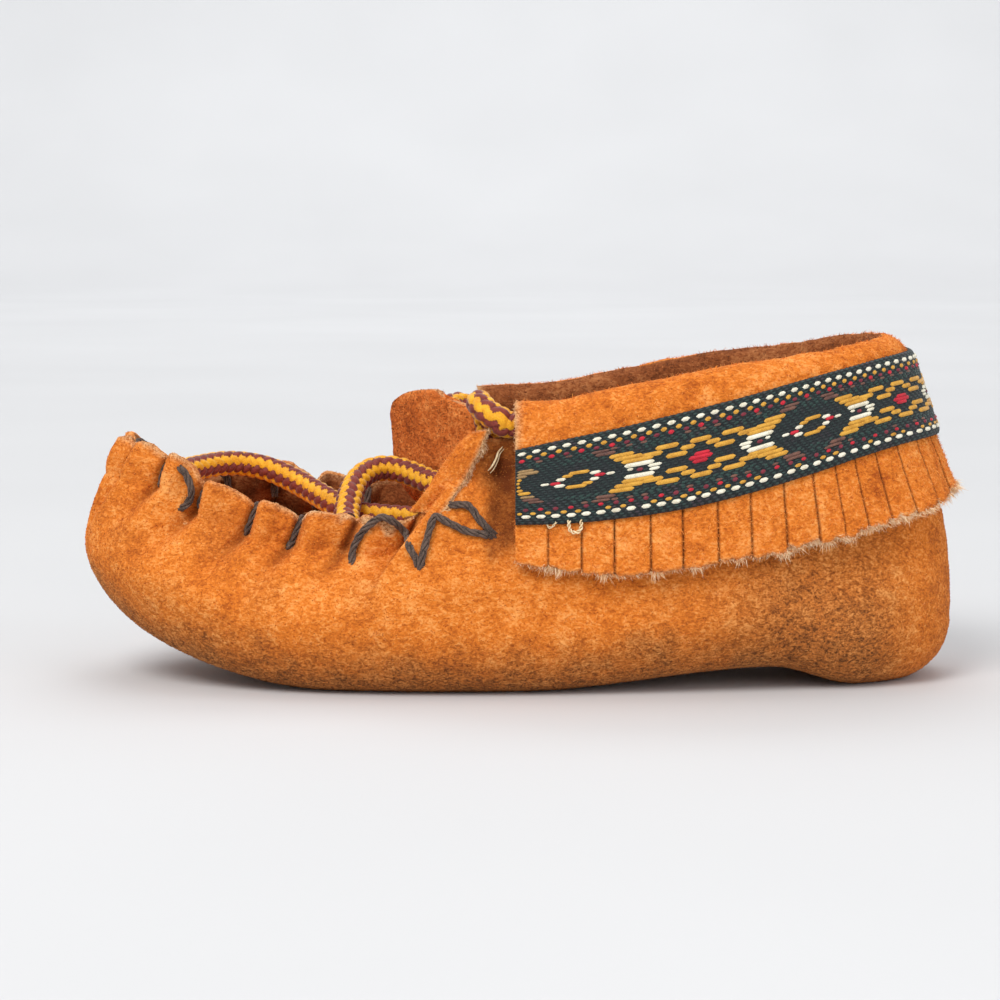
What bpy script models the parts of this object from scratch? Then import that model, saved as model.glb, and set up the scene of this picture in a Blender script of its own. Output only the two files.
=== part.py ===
"""A baby's moccasin bootie in suede, standing on its soft sole.

Millimetres are used for every size below and turned into metres when a mesh
is made. The toe points along -X, the heel along +X, and +Z is up. The origin
is on the floor, under the middle of the bootie.

The wrap is one hide that forms the sole and comes up round the foot as the
sides. Its front edge stands up as a ruffle round the vamp plug. The cuff is a
strip folded over the collar, with a casing in its fold for the drawstring.
"""

import math

import bpy
import numpy as np

for old in list(bpy.data.objects):
    bpy.data.objects.remove(old, do_unlink=True)

# ---------------------------------------------------------------- main sizes
LENGTH = 125.0
HALF = LENGTH / 2
BALL_HALF_WIDTH = 26.4
HEEL_NARROWING = 0.056  # half width lost for each mm behind the ball
TOE_SQUARENESS = 2.4  # exponents of the outline, 2 is an ellipse
HEEL_SQUARENESS = 2.9
FAN = 50.0  # how far along the middle line the wall's columns gather
FRINGE_BEHIND = 0.82  # the fringe reaches this far behind the heel

HIDE = 1.4  # thickness of the wrap and plug
CUFF_HIDE = 1.3
GAP = 0.35  # between pieces that meet

TOE_SPRING = 10.5
SPRING_FROM = 36.0  # mm behind the toe tip where the sole lifts
ARCH_LIFT = 2.2
ARCH = (62.0, 98.0, 111.0)  # start, highest point and end of the arch

# The stitched notches of the ruffle on each side, along the outline from the toe tip.
NOTCHES = (3.6, 11.4, 19.7, 26.6, 35.8, 43.4, 52.0, 60.8)
NOTCH_DEPTH = 3.4

LACE_D = 3.6
CASING_TURN = 7.0  # how far the cuff turns down inside the collar
CUFF_FRONT, FAR_FRONT = 62.0, 56.5  # mm behind the toe tip, on the near and far side
BRAID_THICK = 0.7

# One row for each station, by the outline's distance behind the toe tip.
# corner_in, corner_up: the round between sole and side, across and up
# inset: how far the top edge stands inside the outline
# top: height of the top edge (of the wrap, so under the casing at the collar)
# straight: the last stretch below the top, which stands upright
WALL_COLUMNS = ("from_toe", "corner_in", "corner_up", "inset", "top", "straight")
WALL = (
    (0.0, 11.5, 9.4, 4.0, 35.2, 5.0),
    (5.0, 11.3, 9.8, 4.8, 34.4, 5.0),
    (12.0, 10.6, 10.4, 6.0, 31.2, 5.0),
    (20.0, 10.0, 10.6, 6.8, 28.3, 5.0),
    (30.0, 9.6, 10.4, 7.3, 25.7, 5.0),
    (40.0, 9.2, 10.2, 7.6, 24.0, 5.0),
    (46.0, 9.0, 10.0, 7.7, 24.2, 5.0),
    (49.0, 9.0, 10.0, 7.6, 26.2, 5.0),
    (53.3, 9.0, 10.0, 7.4, 32.2, 5.0),
    (56.5, 9.0, 10.0, 7.2, 35.6, 5.0),
    (62.0, 9.0, 10.0, 6.9, 35.5, 5.0),
    (75.0, 8.8, 9.8, 6.0, 37.3, 5.0),
    (92.0, 8.6, 9.5, 5.2, 40.6, 5.0),
    (110.0, 8.2, 9.0, 5.0, 42.2, 5.0),
    (125.0, 8.0, 9.0, 5.4, 44.1, 5.0),
)

# The cuff's lower edge and the braid's lower and upper edges, by station.
CUFF_COLUMNS = ("from_toe", "hem", "braid_low", "braid_high")
CUFF = (
    (55.0, 20.3, 23.4, 32.6),
    (60.0, 19.8, 24.3, 33.9),
    (68.0, 18.4, 24.5, 35.7),
    (76.0, 17.7, 25.2, 37.4),
    (84.0, 18.4, 26.3, 39.3),
    (92.0, 19.6, 28.0, 41.2),
    (104.0, 21.8, 31.2, 44.0),
    (112.0, 23.7, 33.3, 45.4),
    (120.0, 26.0, 34.9, 46.7),
    (125.0, 27.6, 35.4, 47.2),
)

PLUG_FROM, PLUG_TO = 7.3, 51.0  # mm behind the toe tip
PLUG_CROWN = 1.6

# The tongue's middle line and half width, from its foot to its top.
TONGUE_COLUMNS = ("from_toe", "height", "across", "half_width", "turn_deg")
TONGUE = (
    (53.4, 20.6, 0.2, 8.0, 0.0),
    (52.7, 22.8, 0.5, 9.2, 22.0),
    (51.9, 26.0, 0.8, 10.1, 37.0),
    (51.2, 30.0, 1.0, 10.4, 42.0),
    (50.9, 34.0, 1.1, 10.5, 43.0),
    (50.7, 37.2, 1.0, 10.4, 44.0),
    (50.5, 39.6, 0.8, 9.2, 44.0),
    (50.4, 41.0, 0.6, 6.8, 44.0),
    (50.4, 41.6, 0.5, 3.8, 44.0),
)

# Routes of the drawstring's two free ends, from the casing out over the vamp.
ROUTE_COLUMNS = ("from_toe", "across", "height")
NEAR_END = (
    (60.1, -18.5, 38.3),
    (59.0, -18.3, 38.8),
    (58.0, -17.6, 39.5),
    (57.3, -16.5, 40.1),
    (57.0, -15.0, 40.4),
    (57.1, -13.5, 40.1),
    (57.7, -12.3, 39.0),
    (58.2, -11.6, 37.2),
    (58.3, -11.2, 35.2),
    (58.0, -10.8, 33.3),
    (57.1, -10.2, 31.4),
    (55.7, -9.3, 29.8),
    (54.0, -8.1, 28.6),
    (52.2, -6.5, 28.1),
    (50.3, -4.4, 28.1),
    (48.4, -2.0, 28.7),
    (46.0, 0.2, 29.4),
    (43.4, 0.9, 29.8),
    (40.9, -0.1, 29.4),
    (39.2, -2.6, 28.2),
    (38.5, -5.4, 26.8),
    (38.2, -8.2, 25.2),
    (38.1, -10.8, 23.8),
    (38.3, -13.2, 22.9),
)
FAR_END = (
    (54.4, 17.8, 37.8),
    (53.1, 16.8, 37.9),
    (52.4, 15.2, 37.5),
    (52.8, 13.3, 36.6),
    (54.5, 11.5, 35.3),
    (57.3, 9.0, 33.4),
    (59.2, 5.8, 31.5),
    (60.6, 2.0, 29.6),
    (61.4, -2.0, 27.9),
    (61.5, -5.8, 26.6),
    (60.8, -9.2, 25.6),
    (58.9, -11.7, 24.9),
    (56.2, -12.4, 24.2),
    (53.4, -11.5, 23.7),
    (51.0, -9.9, 23.4),
    (48.7, -8.1, 23.2),
    (46.2, -6.4, 23.2),
    (43.0, -5.0, 23.3),
    (39.7, -3.6, 23.5),
    (37.2, -1.8, 24.1),
    (34.8, 1.0, 25.1),
    (32.0, 4.6, 26.3),
    (28.9, 7.6, 27.6),
    (25.4, 9.4, 28.9),
    (21.8, 9.6, 29.6),
    (18.8, 7.9, 29.8),
    (16.3, 5.2, 29.6),
    (14.4, 2.2, 29.4),
    (13.1, -0.6, 29.2),
    (12.6, -3.0, 29.0),
)

COLOURS = {
    "suede": (0.62, 0.22, 0.045),
    "suede_inside": (0.33, 0.12, 0.035),
    "braid": (0.018, 0.04, 0.035),
    "cord": (0.75, 0.42, 0.04),
}


# ------------------------------------------------------------ small helpers
def column_of(rows, names, name):
    at = names.index(name)
    return np.array([row[0] for row in rows]), np.array([row[at] for row in rows])


def eased(x, xs, ys):
    """A smooth curve through a table, with no overshoot between its rows."""
    slopes = np.diff(ys) / np.diff(xs)
    ends = np.concatenate([[0.0], slopes, [0.0]])
    mid = np.where(
        ends[:-1] * ends[1:] > 0,
        2 * ends[:-1] * ends[1:] / np.where(ends[:-1] + ends[1:] == 0, 1, ends[:-1] + ends[1:]),
        0.0,
    )
    x = np.clip(x, xs[0], xs[-1])
    i = np.clip(np.searchsorted(xs, x) - 1, 0, len(xs) - 2)
    step = xs[i + 1] - xs[i]
    t = (x - xs[i]) / step
    a, b = ys[i], ys[i + 1]
    return (
        a * (1 + 2 * t) * (1 - t) ** 2
        + b * t * t * (3 - 2 * t)
        + step * (mid[i] * t * (1 - t) ** 2 - mid[i + 1] * t * t * (1 - t))
    )


def wall(from_toe, name):
    return eased(from_toe, *column_of(WALL, WALL_COLUMNS, name))


def cuff_at(from_toe, name):
    return eased(from_toe, *column_of(CUFF, CUFF_COLUMNS, name))


def floor_lift(from_toe):
    """Height of the sole: the toe spring, then flat, the arch, and the heel's flat."""
    lift = TOE_SPRING * max(0.0, (SPRING_FROM - from_toe) / SPRING_FROM) ** 1.8
    start, peak, end = ARCH
    if start < from_toe < end:
        t = (from_toe - start) / (peak - start) if from_toe < peak else (end - from_toe) / (end - peak)
        lift += ARCH_LIFT * t * t * (3 - 2 * t)
    return lift


# ------------------------------------------------------- the bootie's outline
def half_width(x):
    n = TOE_SQUARENESS if x < 0 else HEEL_SQUARENESS
    widest = BALL_HALF_WIDTH - HEEL_NARROWING * 8 * math.log1p(math.exp((x + 15) / 8))
    return widest * max(0.0, 1 - abs(x / HALF) ** n) ** (1 / n)


DENSE = 2400
_turn = np.linspace(0, math.pi, DENSE)
_line_x = -HALF * np.cos(_turn)
_line_y = np.array([half_width(x) for x in _line_x])
_run = np.concatenate([[0], np.cumsum(np.hypot(np.diff(_line_x), np.diff(_line_y)))])
HALF_ROUND = float(_run[-1])  # from toe tip to heel along one side


def outline(run):
    """Point of the outline at a distance from the toe tip, negative on the near side (-Y)."""
    side = -1 if run < 0 else 1
    return float(np.interp(abs(run), _run, _line_x)), side * float(np.interp(abs(run), _run, _line_y))


def run_at(from_toe):
    return float(np.interp(from_toe - HALF, _line_x, _run))


class Column:
    """One upright strip of the wall: it starts on the middle line and runs out to the outline."""

    def __init__(self, run):
        self.run = run
        x, y = outline(run)
        self.from_toe = x + HALF
        self.root = FAN * math.tanh(x / FAN)
        self.reach = math.hypot(x - self.root, y)
        self.dx, self.dy = (x - self.root) / self.reach, y / self.reach

    def point(self, r, z):
        return (self.root + self.dx * r, self.dy * r, z)

    def lift(self, r):
        return floor_lift(self.root + self.dx * r + HALF)

    def profile(self, notch=0.0):
        """Outer face as (r, z, normal r, normal z), from the middle line up to the top edge."""
        c_in, c_up = wall(self.from_toe, "corner_in"), wall(self.from_toe, "corner_up")
        inset, top = wall(self.from_toe, "inset"), wall(self.from_toe, "top")
        straight = wall(self.from_toe, "straight")
        reach, flat = self.reach, self.reach - c_in
        rows = [(0.0, self.lift(0.0), 0.0, -1.0)]
        rows += [(flat * t, self.lift(flat * t), 0.0, -1.0) for t in (0.55, 1.0)]
        for a in (0.52, 1.05, math.pi / 2):
            r = flat + c_in * math.sin(a)
            rows.append((r, self.lift(r) + c_up * (1 - math.cos(a)), math.sin(a) * c_up, -math.cos(a) * c_in))
        low, high = rows[-1][1], top - straight
        for t in (0.25, 0.5, 0.75, 1.0):
            r = reach - inset * t**1.9
            lean = inset * 1.9 * t**0.9 / (high - low)
            rows.append((r, low + (high - low) * t, 1.0, lean if t < 1 else 0.15))
        edge = top - notch
        for t in (0.5, 1.0):
            rows.append((reach - inset + 0.35 * t, high + (edge - high) * t, 1.0, 0.0))
        unit = [math.hypot(nr, nz) for _, _, nr, nz in rows]
        return [(r, z, nr / n, nz / n) for (r, z, nr, nz), n in zip(rows, unit)]


def notch_at(run):
    """How deep the ruffle's edge is cut at this place: a narrow V where each stitch pulls it down."""
    off = min(abs(abs(run) - at) for at in NOTCHES)
    if abs(run) > NOTCHES[-1] + 1.3:
        return 0.0
    return NOTCH_DEPTH * max(0.0, 1 - off / 1.2) ** 0.8 + 0.35 * (1 - min(off / 4.0, 1.0)) ** 2


def wrap_runs():
    """Places of the columns: closer together where the ruffle has its notches."""
    places = []
    last = 0.0
    for notch in NOTCHES:
        if last:
            places += [last + 1.2, (last + notch) / 2]
        places += [notch - 1.2, notch]
        last = notch
    places.append(last + 1.3)
    rest = (HALF_ROUND - places[-1]) / 22
    places += [places[-1] + rest * (i + 1) for i in range(21)]
    return sorted(places)


# ------------------------------------------------------------- mesh building
def material(name, roughness=0.9):
    found = bpy.data.materials.get(name)
    if found:
        return found
    made = bpy.data.materials.new(name)
    made.use_nodes = True
    shader = made.node_tree.nodes["Principled BSDF"]
    shader.inputs["Base Color"].default_value = (*COLOURS[name], 1)
    shader.inputs["Roughness"].default_value = roughness
    shader.inputs["Metallic"].default_value = 0.0
    made.diffuse_color = (*COLOURS[name], 1)
    return made


def leaned(x, z):
    """The collar leans forward over the heel, and the toe's ruffle leans back."""
    back = min(max((x + HALF - 86.0) / 36.0, 0.0), 1.0)
    up = min(max((z - 24.0) / 24.0, 0.0), 1.15)
    tip = min(max((z - 29.5) / 7.0, 0.0), 1.0)
    front = min(max((18.0 - x - HALF) / 12.0, 0.0), 1.0)
    x -= 4.1 * (back * back * (3 - 2 * back)) ** 1.6 * up * (1.35 - 0.35 * up)
    return x + 2.0 * tip * tip * (3 - 2 * tip) * front * front * (3 - 2 * front)


def placed(point):
    """Metres, with the origin midway between the toe and the back of the fringe."""
    x, y, z = point
    return (leaned(float(x), float(z)) - FRINGE_BEHIND / 2) * 0.001, float(y) * 0.001, float(z) * 0.001


def add_mesh(name, points, faces, colour):
    mesh = bpy.data.meshes.new(name)
    mesh.from_pydata([placed(p) for p in points], [], faces)
    mesh.validate()
    mesh.update()
    obj = bpy.data.objects.new(name, mesh)
    bpy.context.scene.collection.objects.link(obj)
    obj.data.materials.append(material(colour))
    volume = sum(
        np.dot(mesh.vertices[p.vertices[0]].co, np.cross(mesh.vertices[p.vertices[i]].co, mesh.vertices[p.vertices[i + 1]].co))
        for p in mesh.polygons
        for i in range(1, len(p.vertices) - 1)
    )
    if volume < 0:
        mesh.flip_normals()
    mesh.shade_smooth()
    mesh.set_sharp_from_angle(angle=math.radians(40))
    return obj


def prism_along(name, loops, colour):
    """A solid from closed loops of the same number of points, one after another, with capped ends."""
    count = len(loops[0])
    points = [p for loop in loops for p in loop]
    faces = []
    for i in range(len(loops) - 1):
        for j in range(count):
            k = (j + 1) % count
            faces.append((i * count + j, i * count + k, (i + 1) * count + k, (i + 1) * count + j))
    # Each end is capped with a ladder of quads between the loop's two halves.
    for base, flip in ((0, True), ((len(loops) - 1) * count, False)):
        for j in range(count // 2 - 1):
            quad = (base + j, base + j + 1, base + count - 2 - j, base + count - 1 - j)
            faces.append(tuple(reversed(quad)) if flip else quad)
    return add_mesh(name, points, faces, colour)


def plate(name, top, bottom, colour):
    """A solid from two grids of the same size, one above the other."""
    rows, cols = len(top), len(top[0])
    points = [p for row in top for p in row] + [p for row in bottom for p in row]
    under = rows * cols
    faces = []
    for i in range(rows - 1):
        for j in range(cols - 1):
            a, b, c, d = i * cols + j, i * cols + j + 1, (i + 1) * cols + j + 1, (i + 1) * cols + j
            faces += [(a, b, c, d), (under + d, under + c, under + b, under + a)]
    rim = (
        [j for j in range(cols)]
        + [i * cols + cols - 1 for i in range(1, rows)]
        + [(rows - 1) * cols + j for j in range(cols - 2, -1, -1)]
        + [i * cols for i in range(rows - 2, 0, -1)]
    )
    for a, b in zip(rim, rim[1:] + rim[:1]):
        faces.append((b, a, under + a, under + b))
    return add_mesh(name, points, faces, colour)


# --------------------------------------------------------------- the wrap
def make_wrap():
    half = wrap_runs()
    runs = [0.0] + half + [HALF_ROUND] + [-r for r in reversed(half)]
    columns = [Column(r) for r in runs]
    count, n_half = len(columns), len(half) + 1
    rows = len(columns[0].profile()) - 1
    points, faces = [], []
    layers = []
    for inward in (0.0, HIDE):
        spine = []
        for i in range(n_half + 1):
            r, z, nr, nz = columns[i].profile()[0]
            spine.append(len(points))
            points.append(columns[i].point(0.0, z + inward))
        grid = []
        for column in columns:
            line = []
            profile = column.profile(notch_at(column.run))
            for k, (r, z, nr, nz) in enumerate(profile[1:]):
                line.append(len(points))
                last = k == rows - 1
                points.append(column.point(r - nr * inward, z if last else z - nz * inward))
            grid.append(line)
        layers.append((spine, grid))
    for which, (spine, grid) in enumerate(layers):
        for i in range(count):
            j = (i + 1) % count
            s_i, s_j = spine[min(i, count - i)], spine[min(j, count - j)]
            quads = [(s_i, s_j, grid[j][0], grid[i][0])]
            quads += [(grid[i][k], grid[j][k], grid[j][k + 1], grid[i][k + 1]) for k in range(rows - 1)]
            faces += [q if which == 0 else tuple(reversed(q)) for q in quads]
    outer, inner = layers[0][1], layers[1][1]
    for i in range(count):
        j = (i + 1) % count
        faces.append((outer[i][-1], outer[j][-1], inner[j][-1], inner[i][-1]))
    return add_mesh("wrap_sole_and_sides", points, faces, "suede")


def inner_edge(from_toe, height, side):
    """How far across the wrap's inner face is at a station and height, from its own columns."""
    best = []
    for run in np.linspace(0.5, HALF_ROUND - 0.5, 260):
        column = Column(side * run)
        line = [(r - nr * HIDE, z - nz * HIDE) for r, z, nr, nz in column.profile()[5:]]
        r = float(np.interp(height, [z for _, z in line], [r for r, _ in line]))
        x, y, _ = column.point(r, height)
        best.append((x + HALF, abs(y)))
    best.sort()
    return float(np.interp(from_toe, [b[0] for b in best], [b[1] for b in best]))


# -------------------------------------------------------------- vamp plug
def seam_height(from_toe):
    """The plug is sewn in this far up the wall, deepest behind the toe's tall tabs."""
    at = min(from_toe, 46.0)
    depth = 5.3 + 3.4 * max(0.0, 1 - from_toe / 26) ** 0.8
    return float(wall(max(0.0, at - 3.0), "top")) - depth


def make_plug():
    across = (-1.0, -0.66, -0.33, 0.0, 0.33, 0.66, 1.0)
    stations = [PLUG_FROM + (PLUG_TO - PLUG_FROM) * t**1.35 for t in np.linspace(0, 1, 16)]
    top, bottom = [], []
    for x in stations:
        edge = seam_height(x)
        half = min(inner_edge(x, edge, 1), inner_edge(x, edge - HIDE, 1)) - GAP - 0.15
        crown = PLUG_CROWN * min(1.0, half / 12)
        line = [(x - HALF, half * a, edge + crown * (1 - a * a)) for a in across]
        top.append(line)
        bottom.append([(px, py, pz - HIDE) for px, py, pz in line])
    return plate("vamp_plug", top, bottom, "suede")


# ------------------------------------------------------------------ tongue
def make_tongue():
    across = (-1.0, -0.6, -0.2, 0.2, 0.6, 1.0)
    rows = TONGUE
    front, back = [], []
    for i, (from_toe, height, middle, half, turn) in enumerate(rows):
        low, high = rows[max(0, i - 1)], rows[min(len(rows) - 1, i + 1)]
        rise = np.array([high[0] - low[0], high[1] - low[1]])
        rise /= np.linalg.norm(rise)
        a = math.radians(turn)
        side = np.array([-math.sin(a), math.cos(a), 0.0])
        up = np.array([rise[0], 0.0, rise[1]])
        normal = np.cross(side, up)
        normal /= np.linalg.norm(normal)
        middle_point = np.array([from_toe - HALF, middle, height])
        front_line, back_line = [], []
        for t in across:
            bow = 1.1 * (1 - t * t) * min(1.0, half / 9)
            at = middle_point + side * half * t - normal * bow
            front_line.append(tuple(at))
            back_line.append(tuple(at + normal * HIDE))
        front.append(front_line)
        back.append(back_line)
    return plate("tongue", front, back, "suede")


# ------------------------------------------------------------------ insole
def make_insole():
    n = 22
    top, bottom = [], []
    half = [HALF_ROUND * (i + 0.5) / n for i in range(n)]
    across = (-1.0, -0.5, 0.0, 0.5, 1.0)
    for run in half:
        column, other = Column(run), Column(-run)
        reach = column.reach - wall(column.from_toe, "corner_in") + 0.6
        line = []
        for t in across:
            side = column if t >= 0 else other
            r = reach * abs(t)
            x, y, _ = side.point(r, 0)
            line.append((x, y, floor_lift(x + HALF) + HIDE + GAP))
        bottom.append(line)
        top.append([(x, y, z + 1.5) for x, y, z in line])
    return plate("insole", top, bottom, "suede_inside")


# -------------------------------------------------------------------- cuff
def cuff_runs(count, extra=0.0):
    """Places from the near front, round the heel, to the far front."""
    near = np.linspace(run_at(CUFF_FRONT) + extra, HALF_ROUND, count)
    far = np.linspace(HALF_ROUND, run_at(FAR_FRONT) + extra, count + 2)
    return [-r for r in near] + list(far[1:])


def outer_face(column, height):
    line = column.profile()[5:]
    return float(np.interp(height, [row[1] for row in line], [row[0] for row in line]))


def casing_middle(column):
    top = float(wall(column.from_toe, "top"))
    return column.reach - wall(column.from_toe, "inset") + 0.35 - HIDE / 2, top + GAP + LACE_D / 2


def cuff_section(column):
    """The cuff's outer and inner faces in one column, from the hem up and over the cord to the inside."""
    mid, centre = casing_middle(column)
    top = float(wall(column.from_toe, "top"))
    hem = float(cuff_at(column.from_toe, "hem"))
    flare = 0.8 + 1.4 * max(0.0, (column.from_toe - 95) / 30)
    outer, inner = [], []
    foot, shoulder = outer_face(column, hem) + GAP + flare, mid + LACE_D / 2 + GAP
    for t in (0.0, 0.25, 0.5, 0.75, 1.0):
        z = hem + (top - 0.6 - hem) * t
        sewn = outer_face(column, z) + GAP + flare * (1 - t) ** 2
        r = max(sewn, foot + (shoulder - foot) * (z - hem) / (centre - hem))
        inner.append((r, z))
        outer.append((r + CUFF_HIDE, z))
    for degrees in (5, 35, 65, 90, 115, 145, 175):
        a = math.radians(degrees)
        near, far = LACE_D / 2 + GAP, LACE_D / 2 + GAP + CUFF_HIDE
        inner.append((mid + near * math.cos(a), centre + near * math.sin(a)))
        outer.append((mid + far * math.cos(a), centre + far * math.sin(a)))
    face = mid - HIDE / 2 - GAP
    for z, lean in ((top - 1.2, 0.0), (top - CASING_TURN, 0.3)):
        inner.append((face - lean, z))
        outer.append((face - lean - CUFF_HIDE, z))
    return outer, inner


def make_cuff():
    loops = []
    for run in cuff_runs(25):
        column = Column(run)
        outer, inner = cuff_section(column)
        loops.append([column.point(r, z) for r, z in outer + list(reversed(inner))])
    return prism_along("cuff_with_casing", loops, "suede")


def make_braid():
    """The braid follows the cuff's outer face between its own two edges."""
    loops = []
    for run in cuff_runs(25):
        column = Column(run)
        outer = np.array(cuff_section(column)[0][:9])
        low, high = float(cuff_at(column.from_toe, "braid_low")), float(cuff_at(column.from_toe, "braid_high"))
        near, far = [], []
        for t in (0.0, 0.25, 0.5, 0.7, 0.8, 0.9, 1.0):
            z = low + (high - low) * t
            r = float(np.interp(z, outer[:, 1], outer[:, 0]))
            slope = (np.interp(z + 0.8, outer[:, 1], outer[:, 0]) - np.interp(z - 0.8, outer[:, 1], outer[:, 0])) / 1.6
            nr, nz = 1 / math.hypot(1, slope), -slope / math.hypot(1, slope)
            near.append((r + nr * GAP, z + nz * GAP))
            far.append((r + nr * (GAP + BRAID_THICK), z + nz * (GAP + BRAID_THICK)))
        loops.append([column.point(r, z) for r, z in far + list(reversed(near))])
    return prism_along("braid_trim", loops, "braid")


# ------------------------------------------------------------- drawstring
def tube(name, route, sides, colour):
    """A cord of LACE_D along a route, as a solid with flat ends."""
    curve = bpy.data.curves.new(name, "CURVE")
    curve.dimensions = "3D"
    curve.bevel_depth = LACE_D * 0.0005
    curve.bevel_resolution = sides
    curve.use_fill_caps = True
    curve.resolution_u = 1
    spline = curve.splines.new("POLY")
    spline.points.add(len(route) - 1)
    for point, at in zip(spline.points, route):
        point.co = (*placed(at), 1.0)
    obj = bpy.data.objects.new(name, curve)
    bpy.context.scene.collection.objects.link(obj)
    curve.materials.append(material(colour))
    return obj


def casing_point(run):
    column = Column(run)
    return column.point(*casing_middle(column))


def free_end(points, side, step):
    """Evenly spaced points on a smooth curve that leaves the casing's mouth and takes in the table's points."""
    if side < 0:
        mouth = [casing_point(back - run_at(CUFF_FRONT)) for back in (0.8, 2.0)]
    else:
        mouth = [casing_point(run_at(FAR_FRONT) - 1.0)]
    p = np.array(mouth + [(x - HALF, y, z) for x, y, z in points], float)
    p = np.vstack([2 * p[0] - p[1], p, 2 * p[-1] - p[-2]])
    fine = []
    for a, b, c, d in zip(p, p[1:], p[2:], p[3:]):
        for t in np.linspace(0, 1, 24, endpoint=False):
            fine.append(
                0.5 * ((2 * b) + (c - a) * t + (2 * a - 5 * b + 4 * c - d) * t * t + (3 * b - a - 3 * c + d) * t**3)
            )
    fine.append(p[-2])
    fine = np.array(fine)
    for _ in range(40):
        fine[1:-1] += 0.5 * ((fine[:-2] + fine[2:]) / 2 - fine[1:-1])
    run = np.concatenate([[0], np.cumsum(np.linalg.norm(np.diff(fine, axis=0), axis=1))])
    at = np.linspace(0, run[-1], max(4, round(run[-1] / step) + 1))
    return np.stack([np.interp(at, run, fine[:, k]) for k in range(3)], axis=1)


def make_lace():
    tube("drawstring_in_casing", [casing_point(run) for run in cuff_runs(26, 0.3)], 2, "cord")
    tube("drawstring_near_end", free_end(NEAR_END, -1, 3.6), 2, "cord")
    tube("drawstring_far_end", free_end(FAR_END, 1, 3.6), 2, "cord")


make_wrap()
make_plug()
make_tongue()
make_insole()
make_cuff()
make_braid()
make_lace()
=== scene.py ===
"""Looks of a baby's suede moccasin bootie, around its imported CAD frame.

All the shapes are worked out here in millimetres and turned into metres when a
mesh is made. The toe points along -X, the heel along +X, and +Z is up. The
tables and the functions of the wall, cuff, tongue and drawstring are the same
ones that the CAD uses.
"""

import math

import bpy
import numpy as np
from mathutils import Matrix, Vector
from mathutils.bvhtree import BVHTree


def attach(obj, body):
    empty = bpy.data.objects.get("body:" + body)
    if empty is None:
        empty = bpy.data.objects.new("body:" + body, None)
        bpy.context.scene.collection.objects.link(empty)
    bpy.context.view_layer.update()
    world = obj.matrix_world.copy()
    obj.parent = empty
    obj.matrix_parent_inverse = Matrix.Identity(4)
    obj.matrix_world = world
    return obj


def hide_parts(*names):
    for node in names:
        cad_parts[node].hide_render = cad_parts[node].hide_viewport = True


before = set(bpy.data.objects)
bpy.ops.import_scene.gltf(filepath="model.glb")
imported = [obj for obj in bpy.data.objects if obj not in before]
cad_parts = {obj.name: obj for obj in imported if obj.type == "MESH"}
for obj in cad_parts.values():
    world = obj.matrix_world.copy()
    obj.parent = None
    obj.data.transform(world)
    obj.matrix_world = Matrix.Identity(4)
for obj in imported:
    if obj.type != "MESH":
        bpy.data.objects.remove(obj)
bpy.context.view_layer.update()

rng = np.random.default_rng(7)

# ---------------------------------------------------------------- main sizes
LENGTH = 125.0
HALF = LENGTH / 2
BALL_HALF_WIDTH = 26.4
HEEL_NARROWING = 0.056
TOE_SQUARENESS = 2.4
HEEL_SQUARENESS = 2.9
FAN = 50.0
FRINGE_BEHIND = 0.82

HIDE = 1.4
CUFF_HIDE = 1.3
GAP = 0.35

TOE_SPRING = 10.5
SPRING_FROM = 36.0
ARCH_LIFT = 3.0
ARCH = (62.0, 98.0, 111.0)

NOTCHES = (3.6, 11.4, 19.7, 26.6, 35.8, 43.4, 52.0, 60.8)
NOTCH_DEPTH = 3.4
NOTCH_VARY = (0.8, 1.0, 0.95, 1.0, 0.85, 0.9, 0.55, 0.5)

LACE_D = 3.6
CASING_TURN = 7.0
CUFF_FRONT, FAR_FRONT = 62.0, 56.5
BRAID_THICK = 0.7

WALL_COLUMNS = ("from_toe", "corner_in", "corner_up", "inset", "top", "straight")
WALL = (
    (0.0, 11.5, 9.4, 4.0, 35.2, 5.0),
    (5.0, 11.3, 9.8, 4.8, 34.4, 5.0),
    (12.0, 10.6, 10.4, 6.0, 31.2, 5.0),
    (20.0, 10.0, 10.6, 6.8, 28.3, 5.0),
    (30.0, 9.6, 10.4, 7.3, 25.7, 5.0),
    (40.0, 9.2, 10.2, 7.6, 24.0, 5.0),
    (46.0, 9.0, 10.0, 7.7, 24.2, 5.0),
    (49.0, 9.0, 10.0, 7.6, 26.2, 5.0),
    (53.3, 9.0, 10.0, 7.4, 32.2, 5.0),
    (56.5, 9.0, 10.0, 7.2, 35.6, 5.0),
    (62.0, 9.0, 10.0, 6.9, 35.5, 5.0),
    (75.0, 8.8, 9.8, 6.0, 37.3, 5.0),
    (92.0, 8.6, 9.5, 5.2, 40.6, 5.0),
    (110.0, 8.2, 9.0, 5.0, 42.2, 5.0),
    (125.0, 8.0, 9.0, 5.4, 44.1, 5.0),
)
CUFF_COLUMNS = ("from_toe", "hem", "braid_low", "braid_high")
CUFF = (
    (55.0, 20.3, 23.4, 32.6),
    (60.0, 19.8, 24.3, 33.9),
    (68.0, 18.4, 24.5, 35.7),
    (76.0, 17.7, 25.2, 37.4),
    (84.0, 18.4, 26.3, 39.3),
    (92.0, 19.6, 28.0, 41.2),
    (104.0, 21.8, 31.2, 44.0),
    (112.0, 23.7, 33.3, 45.4),
    (120.0, 26.0, 34.9, 46.7),
    (125.0, 27.6, 35.4, 47.2),
)
PLUG_FROM, PLUG_TO = 7.3, 51.0
PLUG_CROWN = 1.6
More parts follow.
